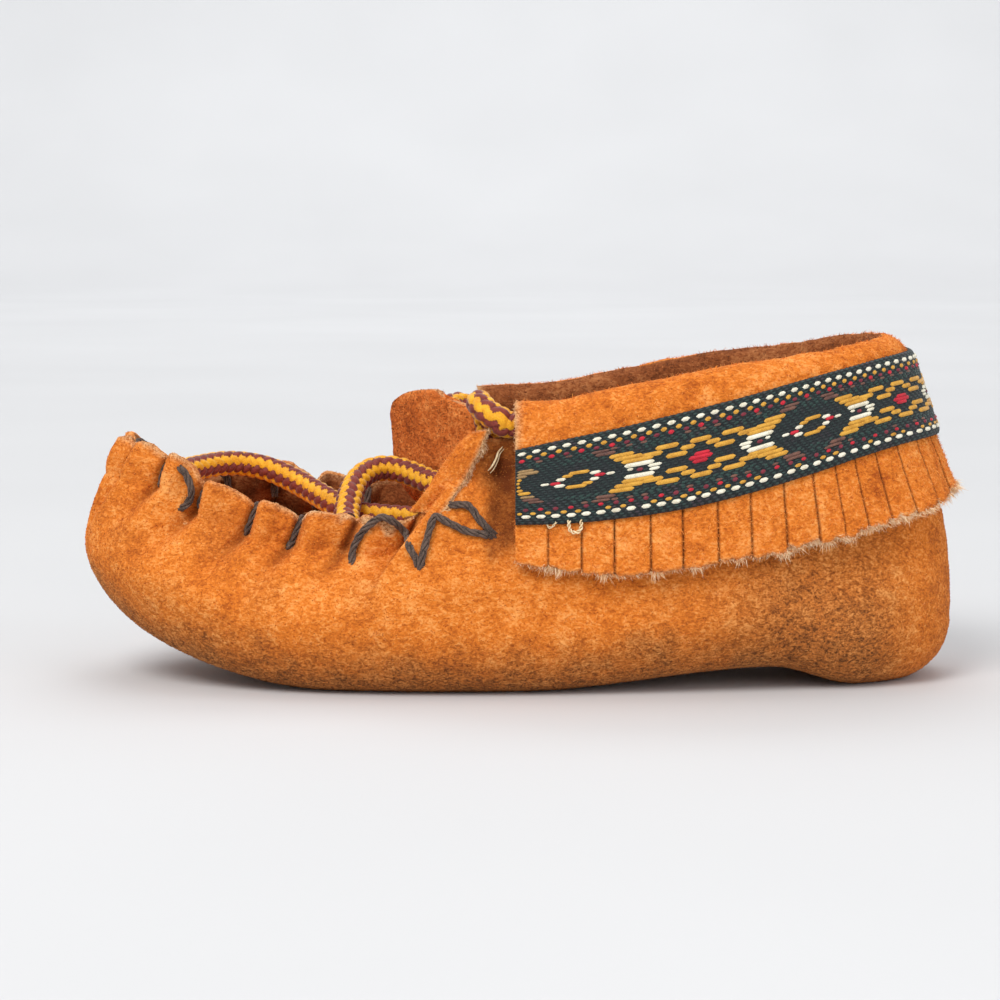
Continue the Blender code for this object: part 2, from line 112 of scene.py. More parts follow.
TONGUE = (
    (53.4, 20.6, 0.2, 8.0, 0.0),
    (52.7, 22.8, 0.5, 9.2, 22.0),
    (51.9, 26.0, 0.8, 10.1, 37.0),
    (51.2, 30.0, 1.0, 10.4, 42.0),
    (50.9, 34.0, 1.1, 10.5, 43.0),
    (50.7, 37.2, 1.0, 10.4, 44.0),
    (50.5, 39.6, 0.8, 9.2, 44.0),
    (50.4, 41.0, 0.6, 6.8, 44.0),
    (50.4, 41.6, 0.5, 3.8, 44.0),
)
NEAR_END = (
    (60.1, -18.5, 38.3),
    (59.0, -18.3, 38.8),
    (58.0, -17.6, 39.5),
    (57.3, -16.5, 40.1),
    (57.0, -15.0, 40.4),
    (57.1, -13.5, 40.1),
    (57.7, -12.3, 39.0),
    (58.2, -11.6, 37.2),
    (58.3, -11.2, 35.2),
    (58.0, -10.8, 33.3),
    (57.1, -10.2, 31.4),
    (55.7, -9.3, 29.8),
    (54.0, -8.1, 28.6),
    (52.2, -6.5, 28.1),
    (50.3, -4.4, 28.1),
    (48.4, -2.0, 28.7),
    (46.0, 0.2, 29.4),
    (43.4, 0.9, 29.8),
    (40.9, -0.1, 29.4),
    (39.2, -2.6, 28.2),
    (38.5, -5.4, 26.8),
    (38.2, -8.2, 25.2),
    (38.1, -10.8, 23.8),
    (38.3, -13.2, 22.9),
)
FAR_END = (
    (54.4, 17.8, 37.8),
    (53.1, 16.8, 37.9),
    (52.4, 15.2, 37.5),
    (52.8, 13.3, 36.6),
    (54.5, 11.5, 35.3),
    (57.3, 9.0, 33.4),
    (59.2, 5.8, 31.5),
    (60.6, 2.0, 29.6),
    (61.4, -2.0, 27.9),
    (61.5, -5.8, 26.6),
    (60.8, -9.2, 25.6),
    (58.9, -11.7, 24.9),
    (56.2, -12.4, 24.2),
    (53.4, -11.5, 23.7),
    (51.0, -9.9, 23.4),
    (48.7, -8.1, 23.2),
    (46.2, -6.4, 23.2),
    (43.0, -5.0, 23.3),
    (39.7, -3.6, 23.5),
    (37.2, -1.8, 24.1),
    (34.8, 1.0, 25.1),
    (32.0, 4.6, 26.3),
    (28.9, 7.6, 27.6),
    (25.4, 9.4, 28.9),
    (21.8, 9.6, 29.6),
    (18.8, 7.9, 29.8),
    (16.3, 5.2, 29.6),
    (14.4, 2.2, 29.4),
    (13.1, -0.6, 29.2),
    (12.6, -3.0, 29.0),
)


# ------------------------------------------------------------ small helpers
def column_of(rows, at):
    return np.array([row[0] for row in rows]), np.array([row[at] for row in rows])


def eased(x, xs, ys):
    """A smooth curve through a table, with no overshoot between its rows."""
    slopes = np.diff(ys) / np.diff(xs)
    ends = np.concatenate([[0.0], slopes, [0.0]])
    total = ends[:-1] + ends[1:]
    mid = np.where(ends[:-1] * ends[1:] > 0, 2 * ends[:-1] * ends[1:] / np.where(total == 0, 1, total), 0.0)
    x = np.clip(x, xs[0], xs[-1])
    i = np.clip(np.searchsorted(xs, x) - 1, 0, len(xs) - 2)
    step = xs[i + 1] - xs[i]
    t = (x - xs[i]) / step
    return (
        ys[i] * (1 + 2 * t) * (1 - t) ** 2
        + ys[i + 1] * t * t * (3 - 2 * t)
        + step * (mid[i] * t * (1 - t) ** 2 - mid[i + 1] * t * t * (1 - t))
    )


def wall(from_toe, name):
    return eased(from_toe, *column_of(WALL, WALL_COLUMNS.index(name)))


def cuff_at(from_toe, name):
    return eased(from_toe, *column_of(CUFF, CUFF_COLUMNS.index(name)))


def floor_lift(from_toe):
    from_toe = np.asarray(from_toe, float)
    lift = TOE_SPRING * np.maximum(0.0, (SPRING_FROM - from_toe) / SPRING_FROM) ** 1.8
    start, peak, end = ARCH
    t = np.clip(np.minimum((from_toe - start) / (peak - start), (end - from_toe) / (end - peak)), 0, 1)
    return lift + ARCH_LIFT * t * t * (3 - 2 * t)


def smooth(a, b, x):
    t = np.clip((np.asarray(x, float) - a) / (b - a), 0, 1)
    return t * t * (3 - 2 * t)


def unit(v):
    return v / np.maximum(np.linalg.norm(v, axis=-1, keepdims=True), 1e-9)


def noise(p, size, seed=0):
    """Smooth seeded noise, about -1 to 1, with lumps of the given size in millimetres."""
    q = np.asarray(p, float) / size
    cell = np.floor(q).astype(np.int64)
    f = q - cell
    f = f * f * f * (f * (f * 6 - 15) + 10)
    out = np.zeros(q.shape[:-1])
    for dx in (0, 1):
        for dy in (0, 1):
            for dz in (0, 1):
                h = (
                    (cell[..., 0] + dx) * 73856093
                    ^ (cell[..., 1] + dy) * 19349663
                    ^ (cell[..., 2] + dz) * 83492791
                    ^ (seed * 2654435761 + 12345)
                )
                h = (h ^ (h >> 13)) * 1274126177
                h = (h ^ (h >> 16)) & 0xFFFFFF
                weight = (
                    (f[..., 0] if dx else 1 - f[..., 0])
                    * (f[..., 1] if dy else 1 - f[..., 1])
                    * (f[..., 2] if dz else 1 - f[..., 2])
                )
                out += weight * (h / 0x7FFFFF - 1.0)
    return out


# ------------------------------------------------------- the bootie's outline
def half_width(x):
    n = np.where(x < 0, TOE_SQUARENESS, HEEL_SQUARENESS)
    widest = BALL_HALF_WIDTH - HEEL_NARROWING * 8 * np.log1p(np.exp((x + 15) / 8))
    return widest * np.maximum(0.0, 1 - np.abs(x / HALF) ** n) ** (1 / n)


_line_x = -HALF * np.cos(np.linspace(0, math.pi, 2400))
_line_y = half_width(_line_x)
_run = np.concatenate([[0], np.cumsum(np.hypot(np.diff(_line_x), np.diff(_line_y)))])
HALF_ROUND = float(_run[-1])


def run_at(from_toe):
    return np.interp(np.asarray(from_toe, float) - HALF, _line_x, _run)


class Columns:
    """Upright strips of the wall at many distances round the outline, negative on the near side."""

    def __init__(self, runs):
        self.run = np.asarray(runs, float)
        # Past the heel the outline goes on round the other side.
        wrapped = (self.run + HALF_ROUND) % (2 * HALF_ROUND) - HALF_ROUND
        self.wrapped = wrapped
        x = np.interp(np.abs(wrapped), _run, _line_x)
        y = np.where(wrapped < 0, -1, 1) * np.interp(np.abs(wrapped), _run, _line_y)
        self.from_toe = x + HALF
        self.root = FAN * np.tanh(x / FAN)
        self.reach = np.hypot(x - self.root, y)
        self.dx, self.dy = (x - self.root) / self.reach, y / self.reach
        for name in ("corner_in", "corner_up", "inset", "top", "straight"):
            setattr(self, name, wall(self.from_toe, name))

    def point(self, r, z):
        return np.stack([self.root + self.dx * r, self.dy * r, z + 0 * r], axis=-1)

    def lift(self, r):
        return floor_lift(self.root + self.dx * r + HALF)

    def profile(self, q, notch):
        """(r, z) at q from 0 to 4: 0 to 1 is the sole, 1 to 2 the corner, 2 to 3 the side, 3 to 4 the top stretch."""
        flat = self.reach - self.corner_in
        a = np.clip(q - 1, 0, 1) * math.pi / 2
        r = flat * np.clip(q, 0, 1) + self.corner_in * np.sin(a)
        z = self.lift(r) + self.corner_up * (1 - np.cos(a))
        low = self.lift(self.reach) + self.corner_up
        high = self.top - self.straight
        t = np.clip(q - 2, 0, 1)
        s = np.clip(q - 3, 0, 1)
        r = np.where(q > 2, self.reach - self.inset * t**1.9 + 0.35 * s, r)
        z = np.where(q > 2, low + (high - low) * t + (self.top - notch - high) * s, z)
        return r, z


def nearest_notch(run):
    """Which stitched notch is nearest, and how far heel-ward of it this place is."""
    gap = np.abs(np.asarray(run, float))[..., None] - np.array(NOTCHES)
    index = np.abs(gap).argmin(-1)
    return index, np.take_along_axis(gap, index[..., None], -1)[..., 0]


def notch_at(run):
    index, off = nearest_notch(run)
    vary = np.array(NOTCH_VARY)[index]
    # a dip that the thread has pulled down; the tab on its toe side slopes down to it
    slope = np.exp(-((off / np.where(off < 0, 3.2, 1.0)) ** 2))
    off = np.abs(off)
    cut = 1.15 * vary * np.exp(-((off / 0.6) ** 2)) + 1.15 * vary * slope
    return np.where(np.abs(run) > NOTCHES[-1] + 4.5, 0.0, cut), off


def leaned(points):
    """The collar leans forward over the heel, and the toe's ruffle leans back."""
    p = np.array(points, float)
    x, z = p[..., 0], p[..., 2]
    back = smooth(86.0, 122.0, x + HALF)
    up = np.clip((z - 24.0) / 24.0, 0.0, 1.15)
    shift = 2.0 * smooth(29.5, 36.5, z) * (1 - smooth(6.0, 18.0, x + HALF)) - 4.1 * back**1.6 * up * (1.35 - 0.35 * up)
    p[..., 0] = x + shift
    return p


def placed(points, lean=True):
    """Metres, with the origin midway between the toe and the back of the fringe."""
    p = leaned(points) if lean else np.asarray(points, float)
    return (p - [FRINGE_BEHIND / 2, 0.0, 0.0]) * 0.001


def grid_faces(rows, cols, base=0, wrap_cols=False, flip=False):
    i = np.arange(rows - 1)[:, None]
    j = np.arange(cols if wrap_cols else cols - 1)[None, :]
    k = (j + 1) % cols
    a, b, c, d = i * cols + j, i * cols + k, (i + 1) * cols + k, (i + 1) * cols + j
    quads = np.stack([a, b, c, d], axis=-1).reshape(-1, 4) + base
    return quads[:, ::-1] if flip else quads


def add_mesh(name, points, faces, materials, index=None, mask=None, flat=False, lean=True):
    """points in millimetres, faces as an array of quads or triangles or a list of arrays of them."""
    groups = faces if isinstance(faces, list) else [faces]
    groups = [np.asarray(g, np.int64) for g in groups if len(g)]
    mesh = bpy.data.meshes.new(name)
    p = placed(points, lean)
    mesh.vertices.add(len(p))
    mesh.vertices.foreach_set("co", p.astype(np.float32).ravel())
    loops = np.concatenate([g.ravel() for g in groups])
    sizes = np.concatenate([np.full(len(g), g.shape[1]) for g in groups])
    starts = np.concatenate([[0], np.cumsum(sizes)[:-1]])
    mesh.loops.add(len(loops))
    mesh.loops.foreach_set("vertex_index", loops.astype(np.int32))
    mesh.polygons.add(len(sizes))
    mesh.polygons.foreach_set("loop_start", starts.astype(np.int32))
    mesh.polygons.foreach_set("loop_total", sizes.astype(np.int32))
    mesh.polygons.foreach_set("use_smooth", np.full(len(sizes), not flat))
    for m in materials if isinstance(materials, (list, tuple)) else [materials]:
        mesh.materials.append(m)
    if index is not None:
        mesh.polygons.foreach_set("material_index", np.asarray(index, np.int32))
    if mask is not None:
        layer = mesh.attributes.new("mask", "FLOAT_COLOR", "POINT")
        m = np.ones((len(p), 4), np.float32)
        m[:, : mask.shape[1]] = mask
        layer.data.foreach_set("color", m.ravel())
    mesh.update(calc_edges=True)
    mesh.validate()
    obj = bpy.data.objects.new(name, mesh)
    bpy.context.scene.collection.objects.link(obj)
    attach(obj, "root")
    return obj


class Parts:
    """Gathers several small closed shapes into one mesh."""

    def __init__(self):
        self.points, self.quads, self.tris, self.qi, self.ti, self.mask = [], [], [], [], [], []
        self.count = 0

    def add(self, points, quads=None, tris=None, material=0, mask=None):
        points = np.asarray(points, float).reshape(-1, 3)
        self.points.append(points)
        if quads is not None and len(quads):
            self.quads.append(np.asarray(quads) + self.count)
            self.qi.append(np.full(len(quads), material))
        if tris is not None and len(tris):
            self.tris.append(np.asarray(tris) + self.count)
            self.ti.append(np.full(len(tris), material))
        m = np.zeros((len(points), 3)) if mask is None else np.broadcast_to(np.asarray(mask, float), (len(points), 3))
        self.mask.append(m)
        self.count += len(points)

    def build(self, name, materials, flat=False):
        faces, index = [], []
        if self.quads:
            faces.append(np.concatenate(self.quads))
            index.append(np.concatenate(self.qi))
        if self.tris:
            faces.append(np.concatenate(self.tris))
            index.append(np.concatenate(self.ti))
        return add_mesh(
            name, np.concatenate(self.points), faces, materials, np.concatenate(index), np.concatenate(self.mask), flat
        )


def frames_along(path):
    """Tangents and two cross directions that don't twist along a path."""
    path = np.asarray(path, float)
    t = unit(np.gradient(path, axis=0))
    a = np.zeros_like(t)
    start = np.cross(t[0], [0.0, 0.0, 1.0])
    if np.linalg.norm(start) < 0.2:
        start = np.cross(t[0], [0.0, 1.0, 0.0])
    a[0] = unit(start)
    for i in range(1, len(t)):
        v = a[i - 1] - t[i] * np.dot(a[i - 1], t[i])
        a[i] = v / max(np.linalg.norm(v), 1e-9)
    return t, a, np.cross(t, a)


def spaced(points, step, rounds=0):
    """Evenly spaced points on a smooth curve through the given ones."""
    p = np.asarray(points, float)
    if len(p) > 2:
        p = np.vstack([2 * p[0] - p[1], p, 2 * p[-1] - p[-2]])
        fine = []
        for a, b, c, d in zip(p, p[1:], p[2:], p[3:]):
            for t in np.linspace(0, 1, 24, endpoint=False):
                fine.append(
                    0.5 * ((2 * b) + (c - a) * t + (2 * a - 5 * b + 4 * c - d) * t * t + (3 * b - a - 3 * c + d) * t**3)
                )
        fine.append(p[-2])
        p = np.array(fine)
    for _ in range(rounds):
        p[1:-1] += 0.5 * ((p[:-2] + p[2:]) / 2 - p[1:-1])
    run = np.concatenate([[0], np.cumsum(np.linalg.norm(np.diff(p, axis=0), axis=1))])
    at = np.linspace(0, run[-1], max(4, round(run[-1] / step) + 1))
    return np.stack([np.interp(at, run, p[:, k]) for k in range(3)], axis=1)


def tube_into(parts, path, radius, sides=8, material=0, mask=None, squash=None):
    """A closed tube along a path, its radius one number or one for each point."""
    path = np.asarray(path, float)
    _, a, b = frames_along(path)
    radius = np.broadcast_to(np.asarray(radius, float), (len(path),))
    turn = np.linspace(0, 2 * math.pi, sides, endpoint=False)
    ring = a[:, None] * np.cos(turn)[None, :, None] + b[:, None] * np.sin(turn)[None, :, None]
    points = path[:, None] + ring * radius[:, None, None]
    quads = grid_faces(len(path), sides, wrap_cols=True, flip=True)
    n = len(path) * sides
    points = np.vstack([points.reshape(-1, 3), path[0], path[-1]])
    j = np.arange(sides)
    k = (j + 1) % sides
    last = (len(path) - 1) * sides
    tris = np.concatenate(
        [np.stack([np.full(sides, n), j, k], 1)[:, ::-1][:, ::-1], np.stack([np.full(sides, n + 1), last + k, last + j], 1)]
    )
    parts.add(points, quads, tris, material, mask)


# ------------------------------------------------------------------ materials
def srgb(r, g, b):
    c = np.array([r, g, b], float) / 255
    lin = np.where(c <= 0.04045, c / 12.92, ((c + 0.055) / 1.055) ** 2.4)
    return (float(lin[0]), float(lin[1]), float(lin[2]), 1.0)


class Nodes:
    """Short names for building a material's nodes."""

    def __init__(self, name):
        self.material = bpy.data.materials.new(name)
        self.material.use_nodes = True
        self.tree = self.material.node_tree
        self.shader = self.tree.nodes["Principled BSDF"]
        self.coords = None

    def set(self, **values):
        for key, value in values.items():
            self.shader.inputs[key.replace("_", " ")].default_value = value
        return self

    def link(self, a, b):
        self.tree.links.new(a, b)

    def put(self, socket, value):
        if hasattr(value, "is_output"):
            self.link(value, socket)
        else:
            socket.default_value = value

    def place(self):
        if self.coords is None:
            self.coords = self.tree.nodes.new("ShaderNodeTexCoord").outputs["Object"]
        return self.coords

    def noise(self, size_mm, detail=2.0, rough=0.5, stretch=None, distort=0.0):
        n = self.tree.nodes.new("ShaderNodeTexNoise")
        n.inputs["Scale"].default_value = 1000.0 / size_mm
        n.inputs["Detail"].default_value = detail
        n.inputs["Roughness"].default_value = rough
        n.inputs["Distortion"].default_value = distort
        at = self.place()
        if stretch:
            m = self.tree.nodes.new("ShaderNodeMapping")
            m.inputs["Scale"].default_value = stretch
            self.link(at, m.inputs["Vector"])
            at = m.outputs["Vector"]
        self.link(at, n.inputs["Vector"])
        return n.outputs["Fac"]

    def cells(self, size_mm, feature="F1"):
        n = self.tree.nodes.new("ShaderNodeTexVoronoi")
        n.feature = feature
        n.inputs["Scale"].default_value = 1000.0 / size_mm
        self.link(self.place(), n.inputs["Vector"])
        return n.outputs["Distance"]

    def math(self, kind, a, b=0.0, clamp=False):
        n = self.tree.nodes.new("ShaderNodeMath")
        n.operation = kind
        n.use_clamp = clamp
        self.put(n.inputs[0], a)
        self.put(n.inputs[1], b)
        return n.outputs[0]

    def spread(self, value, low, high, to_low=0.0, to_high=1.0):
        n = self.tree.nodes.new("ShaderNodeMapRange")
        self.put(n.inputs["Value"], value)
        n.inputs["From Min"].default_value = low
        n.inputs["From Max"].default_value = high
        n.inputs["To Min"].default_value = to_low
        n.inputs["To Max"].default_value = to_high
        return n.outputs["Result"]

    def ramp(self, value, *stops):
        n = self.tree.nodes.new("ShaderNodeValToRGB")
        ramp = n.color_ramp
        while len(ramp.elements) < len(stops):
            ramp.elements.new(0.5)
        for element, (at, colour) in zip(ramp.elements, stops):
            element.position = at
            element.color = colour
        self.put(n.inputs["Fac"], value)
        return n.outputs["Color"]

    def mix(self, amount, a, b, kind="MIX"):
        n = self.tree.nodes.new("ShaderNodeMix")
        n.data_type = "RGBA"
        n.blend_type = kind
        self.put(n.inputs["Factor"], amount)
        self.put(n.inputs[6], a)
        self.put(n.inputs[7], b)
        return n.outputs[2]

    def masks(self, name="mask"):
        a = self.tree.nodes.new("ShaderNodeAttribute")
        a.attribute_name = name
        s = self.tree.nodes.new("ShaderNodeSeparateColor")
        self.link(a.outputs["Color"], s.inputs[0])
        return s.outputs

    def bump(self, height, distance_mm, strength=1.0):
        n = self.tree.nodes.new("ShaderNodeBump")
        n.inputs["Distance"].default_value = distance_mm * 0.001
        n.inputs["Strength"].default_value = strength
        self.link(height, n.inputs["Height"])
        self.link(n.outputs["Normal"], self.shader.inputs["Normal"])

    def colour(self, value):
        self.put(self.shader.inputs["Base Color"], value)
        return self.material


DARK, MID, LIGHT = srgb(160, 76, 26), srgb(217, 121, 42), srgb(243, 166, 92)
# worn brown, which also serves as painted shade in the corner in front of the cuff
SHADE_AND_WEAR_DARK, SHADE_AND_WEAR_BROWN = srgb(98, 58, 30), srgb(170, 110, 62)
RAW_DARK, RAW = srgb(150, 100, 62), srgb(232, 188, 138)


def suede(name, dark, mid, light, sheen=0.15, patch=0.25):
    """Split suede: speckled nap, larger rubbed patches, brown wear, raw cut edges and painted shade in the grooves.
    The mask's parts are wear (also painted shade in the corner in front of the cuff), raw edge and groove, which is
    painted shade in grooves, recesses and slits."""
    n = Nodes(name).set(Roughness=0.95, Sheen_Weight=sheen, Sheen_Roughness=0.45)
    n.shader.inputs["Specular IOR Level"].default_value = 0.12
    n.shader.inputs["Sheen Tint"].default_value = srgb(255, 190, 130)
    wear_and_shade, raw, groove = n.masks()
    # nap: fine specks and short streaks along the hide, over blotches and soft rubbed patches
    speck = n.noise(0.36, 2.0, 0.6, stretch=(0.85, 1.0, 1.15), distort=0.6)
    nap = n.noise(0.95, 2.0, 0.55, stretch=(0.8, 1.0, 1.3), distort=1.1)
    blot = n.noise(3.0, 3.0, 0.6, distort=0.5)
    rub = n.noise(11.0, 2.0, 0.5)
    value = n.math("ADD", n.math("MULTIPLY", speck, 0.44), n.math("MULTIPLY", nap, 0.42))
    value = n.math("ADD", value, n.math("MULTIPLY", blot, 0.42))
    value = n.math("ADD", value, n.math("MULTIPLY", rub, patch))
    value = n.math("SUBTRACT", value, 0.14 + patch * 0.5)
    colour = n.ramp(value, (0.30, dark), (0.50, mid), (0.70, light))
    # brown wear speckle; the same channel also brings painted shade to the corner in front of the cuff
    speckle = n.ramp(n.math("ADD", n.math("MULTIPLY", speck, 0.65), n.math("MULTIPLY", nap, 0.35)), (0.40, SHADE_AND_WEAR_DARK), (0.60, SHADE_AND_WEAR_BROWN))
    worn_and_shaded = n.math("MULTIPLY", wear_and_shade, n.spread(n.math("ADD", n.math("MULTIPLY", speck, 0.9), n.math("MULTIPLY", nap, 0.7)), 0.60, 1.0, 1.25, 0.5), clamp=True)
    colour = n.mix(worn_and_shaded, colour, speckle)
    edge = n.ramp(speck, (0.38, RAW_DARK), (0.6, RAW))
    colour = n.mix(raw, colour, edge)
    # painted shade: the groove channel darkens grooves, recesses and slits towards dark brown
    groove_painted_shade = n.math("MULTIPLY", groove, 0.8)
    colour = n.mix(groove_painted_shade, colour, srgb(100, 46, 20))
    n.bump(n.math("ADD", n.math("MULTIPLY", speck, 0.9), n.math("MULTIPLY", nap, 0.8)), 0.26, 0.8)
    return n.colour(colour)


def fluff(name, dark, mid, light):
    """Single suede fibres. The mask's parts are wear (also painted shade in the corner in front of the cuff), raw edge
    and the fibre's own tone.
    """
    n = Nodes(name).set(Roughness=0.9, Sheen_Weight=0.1)
    n.shader.inputs["Specular IOR Level"].default_value = 0.15
    wear_and_shade, raw, tone = n.masks()
    rub = n.noise(9.0, 2.5, 0.55)
    value = n.math("ADD", tone, n.math("MULTIPLY", n.math("SUBTRACT", rub, 0.5), 0.6))
    colour = n.ramp(value, (0.05, dark), (0.5, mid), (0.95, light))
    colour = n.mix(wear_and_shade, colour, n.ramp(tone, (0.1, SHADE_AND_WEAR_DARK), (0.5, SHADE_AND_WEAR_BROWN), (0.95, srgb(206, 150, 92))))
    colour = n.mix(raw, colour, n.ramp(tone, (0.1, RAW_DARK), (0.75, RAW), (1.0, srgb(255, 236, 204))))
    return n.colour(colour)


def yarn(name, colour, deep, streak_mm=0.16, sheen=0.3, rough=0.6):
    """Twisted yarn: fine streaks and darker hollows."""
    n = Nodes(name).set(Roughness=rough, Sheen_Weight=sheen, Sheen_Roughness=0.4)
    n.shader.inputs["Specular IOR Level"].default_value = 0.3
    fine = n.noise(streak_mm, 2.0, 0.6)
    wide = n.noise(1.1, 1.0, 0.5)
    value = n.math("ADD", n.math("MULTIPLY", fine, 0.65), n.math("MULTIPLY", wide, 0.35))
    n.bump(fine, 0.05, 0.7)
    return n.colour(n.ramp(value, (0.34, deep), (0.58, colour)))


M_SUEDE = suede("suede", DARK, MID, LIGHT)
M_TONGUE = suede("suede_rough", srgb(134, 62, 26), srgb(200, 104, 44), srgb(236, 150, 80), sheen=0.12, patch=0.2)
# darker suede for the inside faces: painted shade of the inside of the bootie
M_INSIDE_SHADE = suede("suede_inside", srgb(82, 42, 22), srgb(132, 72, 38), srgb(172, 110, 66), sheen=0.08, patch=0.3)
M_INSOLE = suede("suede_insole", srgb(96, 60, 34), srgb(150, 100, 62), srgb(186, 136, 92), sheen=0.08, patch=0.4)
M_FLUFF = fluff("suede_fibres", srgb(166, 78, 24), srgb(220, 122, 42), srgb(248, 172, 92))
# darker fibres for the tongue, plug and inside faces: painted shade of the opening
M_FLUFF_SHADE = fluff("suede_fibres_painted_shade", srgb(80, 40, 20), srgb(146, 78, 38), srgb(204, 130, 76))

M_YELLOW = yarn("lace_yellow", srgb(240, 176, 30), srgb(206, 130, 14))
M_MAROON = yarn("lace_maroon", srgb(134, 54, 42), srgb(88, 32, 28))
M_LACE_CORE = yarn("lace_core", srgb(70, 36, 20), srgb(40, 20, 14))
M_LASHING = yarn("lashing_thread", srgb(104, 86, 76), srgb(38, 30, 27), 0.22, 0.12, 0.85)
M_CREAM = yarn("cream_thread", srgb(244, 224, 184), srgb(200, 168, 120))

# ------------------------------------------------------------------ the wrap
def tab_shift(h):
    """How far toe-ward a groove has moved at a depth below the top edge."""
    return 0.45 * np.minimum(h, 5.0) + 0.78 * np.clip(h - 5.0, 0.0, 8.0)


def tab_relief(u, h, from_toe):
    """How far the ruffle's face stands out or in, by its place between stitches and its depth below the edge."""
    index, off = nearest_notch(u)
    here = 1 - smooth(NOTCHES[-1] + 2.0, NOTCHES[-1] + 5.0, np.abs(u))
    strength = np.array((0.8, 1.0, 1.0, 1.25, 1.2, 1.1, 0.75, 0.45))[index]
    strength = strength * np.where(index == len(NOTCHES) - 1, 1 - 0.8 * smooth(2.5, 6.5, h), 1.0)
    width = 0.50 + 0.115 * h
    deep = 1.75 * (1 - 0.62 * smooth(4.5, 8.0, h)) * (1 - smooth(7.5, 16.0, h))
    groove = -deep * strength * np.exp(-((off / width) ** 2))
    # the tab on the heel side bulges over each groove, and the one on the toe side rolls in
    bulge = 0.95 * strength * np.exp(-(((off - 2.3 - 0.05 * h) / 1.7) ** 2)) * (1 - smooth(4.0, 13.0, h))
    roll = -0.50 * strength * np.exp(-(((off + 1.9) / 1.5) ** 2)) * (1 - smooth(2.0, 9.0, h))
    puff = 0.75 * (1 - np.exp(-((off / 2.8) ** 2))) * (1 - smooth(2.0, 13.0, h)) * (0.25 + 0.75 * smooth(-0.3, 2.2, h))
    trough = -0.42 * strength * np.exp(-((off / 2.6) ** 2)) * smooth(4.0, 8.0, h) * (1 - smooth(10.0, 18.0, h))
    return (groove + bulge + roll + puff + trough) * here


def soft_creases(from_toe, z, side):
    """Listed soft troughs and ridges of the wall, in millimetres."""
    out = 0.0 * z
    # (from_toe, height, length along, height of it, tilt, depth)
    for x0, z0, along, up, tilt, depth, which in (
        (51.5, 21.0, 9.0, 2.4, -0.30, -0.55, 0),
        (56.0, 16.5, 13.0, 3.2, 0.10, 0.45, 0),
        (30.0, 12.5, 16.0, 3.0, -0.12, 0.35, 0),
        (44.0, 17.0, 10.0, 2.6, 0.22, -0.35, -1),
        (17.0, 19.0, 8.0, 2.6, -0.55, -0.4, 0),
        (9.0, 17.0, 6.0, 2.4, -0.9, 0.35, 0),
        (72.0, 13.0, 15.0, 3.0, 0.06, -0.35, -1),
        (90.0, 10.0, 12.0, 2.6, 0.16, 0.35, 0),
        (104.0, 15.0, 12.0, 4.0, 0.5, -0.5, 0),
        (115.0, 12.0, 7.0, 5.0, 1.2, 0.4, 0),
        (100.0, 22.0, 14.0, 3.0, 0.25, -0.3, 1),
        (64.0, 20.0, 9.0, 2.2, 0.45, -0.3, 1),
        (60.2, 29.0, 1.5, 8.5, 0.0, -0.9, -1),
        (57.3, 29.5, 1.1, 7.5, 0.0, 0.45, -1),
        (60.2, 29.0, 1.5, 8.5, 0.0, -0.5, 1),
    ):
        a, b = from_toe - x0, z - z0
        n = math.hypot(1, tilt)
        s, t = (a + b * tilt) / n, (b - a * tilt) / n
        amount = depth * np.exp(-((s / along) ** 2) - (t / up) ** 2)
        out = out + (amount if which == 0 else np.where(np.sign(side) == which, amount, 0.25 * amount))
    return out


def rim_rise(c):
    """The ruffle's edge is not level: it stands higher at a few places and lower on the far side of the toe."""
    x, run = c.from_toe, c.wrapped
    near_tab = 1.2 * smooth(6.5, 10.0, x) * (1 - smooth(13.0, 15.5, x))
    near = near_tab + 0.5 * smooth(29.0, 35.0, x) * (1 - smooth(40.0, 46.0, x)) + 0.7 * smooth(35.5, 38.0, x) * (1 - smooth(40.2, 42.6, x))
    far = 2.6 * smooth(14.5, 21.0, x) * (1 - smooth(45.0, 49.5, x)) - 3.1 * smooth(5.0, 14.0, run) * (1 - smooth(11.5, 16.5, x))
    return np.where(run > 0, far, near) - 0.5 * (1 - smooth(8.0, 16.0, np.abs(run)))


def wrap_outer(u, q):
    """Outer face of the wrap, with grooves, puffed tabs and creases, as (points, height below the top edge)."""
    u, q = np.broadcast_arrays(np.asarray(u, float), np.asarray(q, float))
    notch, _ = notch_at(u)
    here = Columns(u)
    here.top = here.top + rim_rise(here)
    _, z0 = here.profile(q, notch)
    h = np.maximum(0.0, here.top - z0)
    sign = np.sign(here.wrapped)
    # the shift fades out round the tip of the toe, where both sides meet
    shift = tab_shift(h) * smooth(0, 17, np.abs(here.wrapped)) * (1 - smooth(66, 92, np.abs(here.wrapped)))
    at = Columns(here.wrapped - sign * shift)
    at.top, at.straight = here.top, here.straight
    r, z = at.profile(q, notch)
    relief = tab_relief(u, np.maximum(0.0, h - 0.25 * notch), here.from_toe)
    relief = relief + soft_creases(at.from_toe, z, here.wrapped) * smooth(1.2, 2.0, q)
    p = at.point(r, z)
    slow = noise(p, 11.0, 3) * 0.28 + noise(p, 4.6, 5) * 0.12
    fine = noise(p, 1.3, 9) * 0.075 + noise(p, 0.75, 11) * 0.05
    out = relief + slow * smooth(1.0, 1.6, q) * (1 - 0.6 * smooth(3.6, 4.0, q)) + fine * smooth(0.9, 1.1, q)
    # creases never push the sole below the floor
    low = smooth(0.8, 2.0, q)
    p = at.point(r + out * low, z)
    under = noise(p, 1.1, 13) * 0.05 * (1 - low)
    p[..., 2] += np.maximum(under, 0.0) + 0.0
    return p, h


def graded(points, low, high, count):
    """Places from low to high, closer together near the given points."""
    x = np.linspace(low, high, 6000)
    density = np.ones_like(x)
    for at in points:
        density += 3.2 * np.exp(-(((x - at) / 1.1) ** 2))
    total = np.concatenate([[0], np.cumsum((density[1:] + density[:-1]) / 2)])
    return np.interp(np.linspace(0, total[-1], count), total, x)


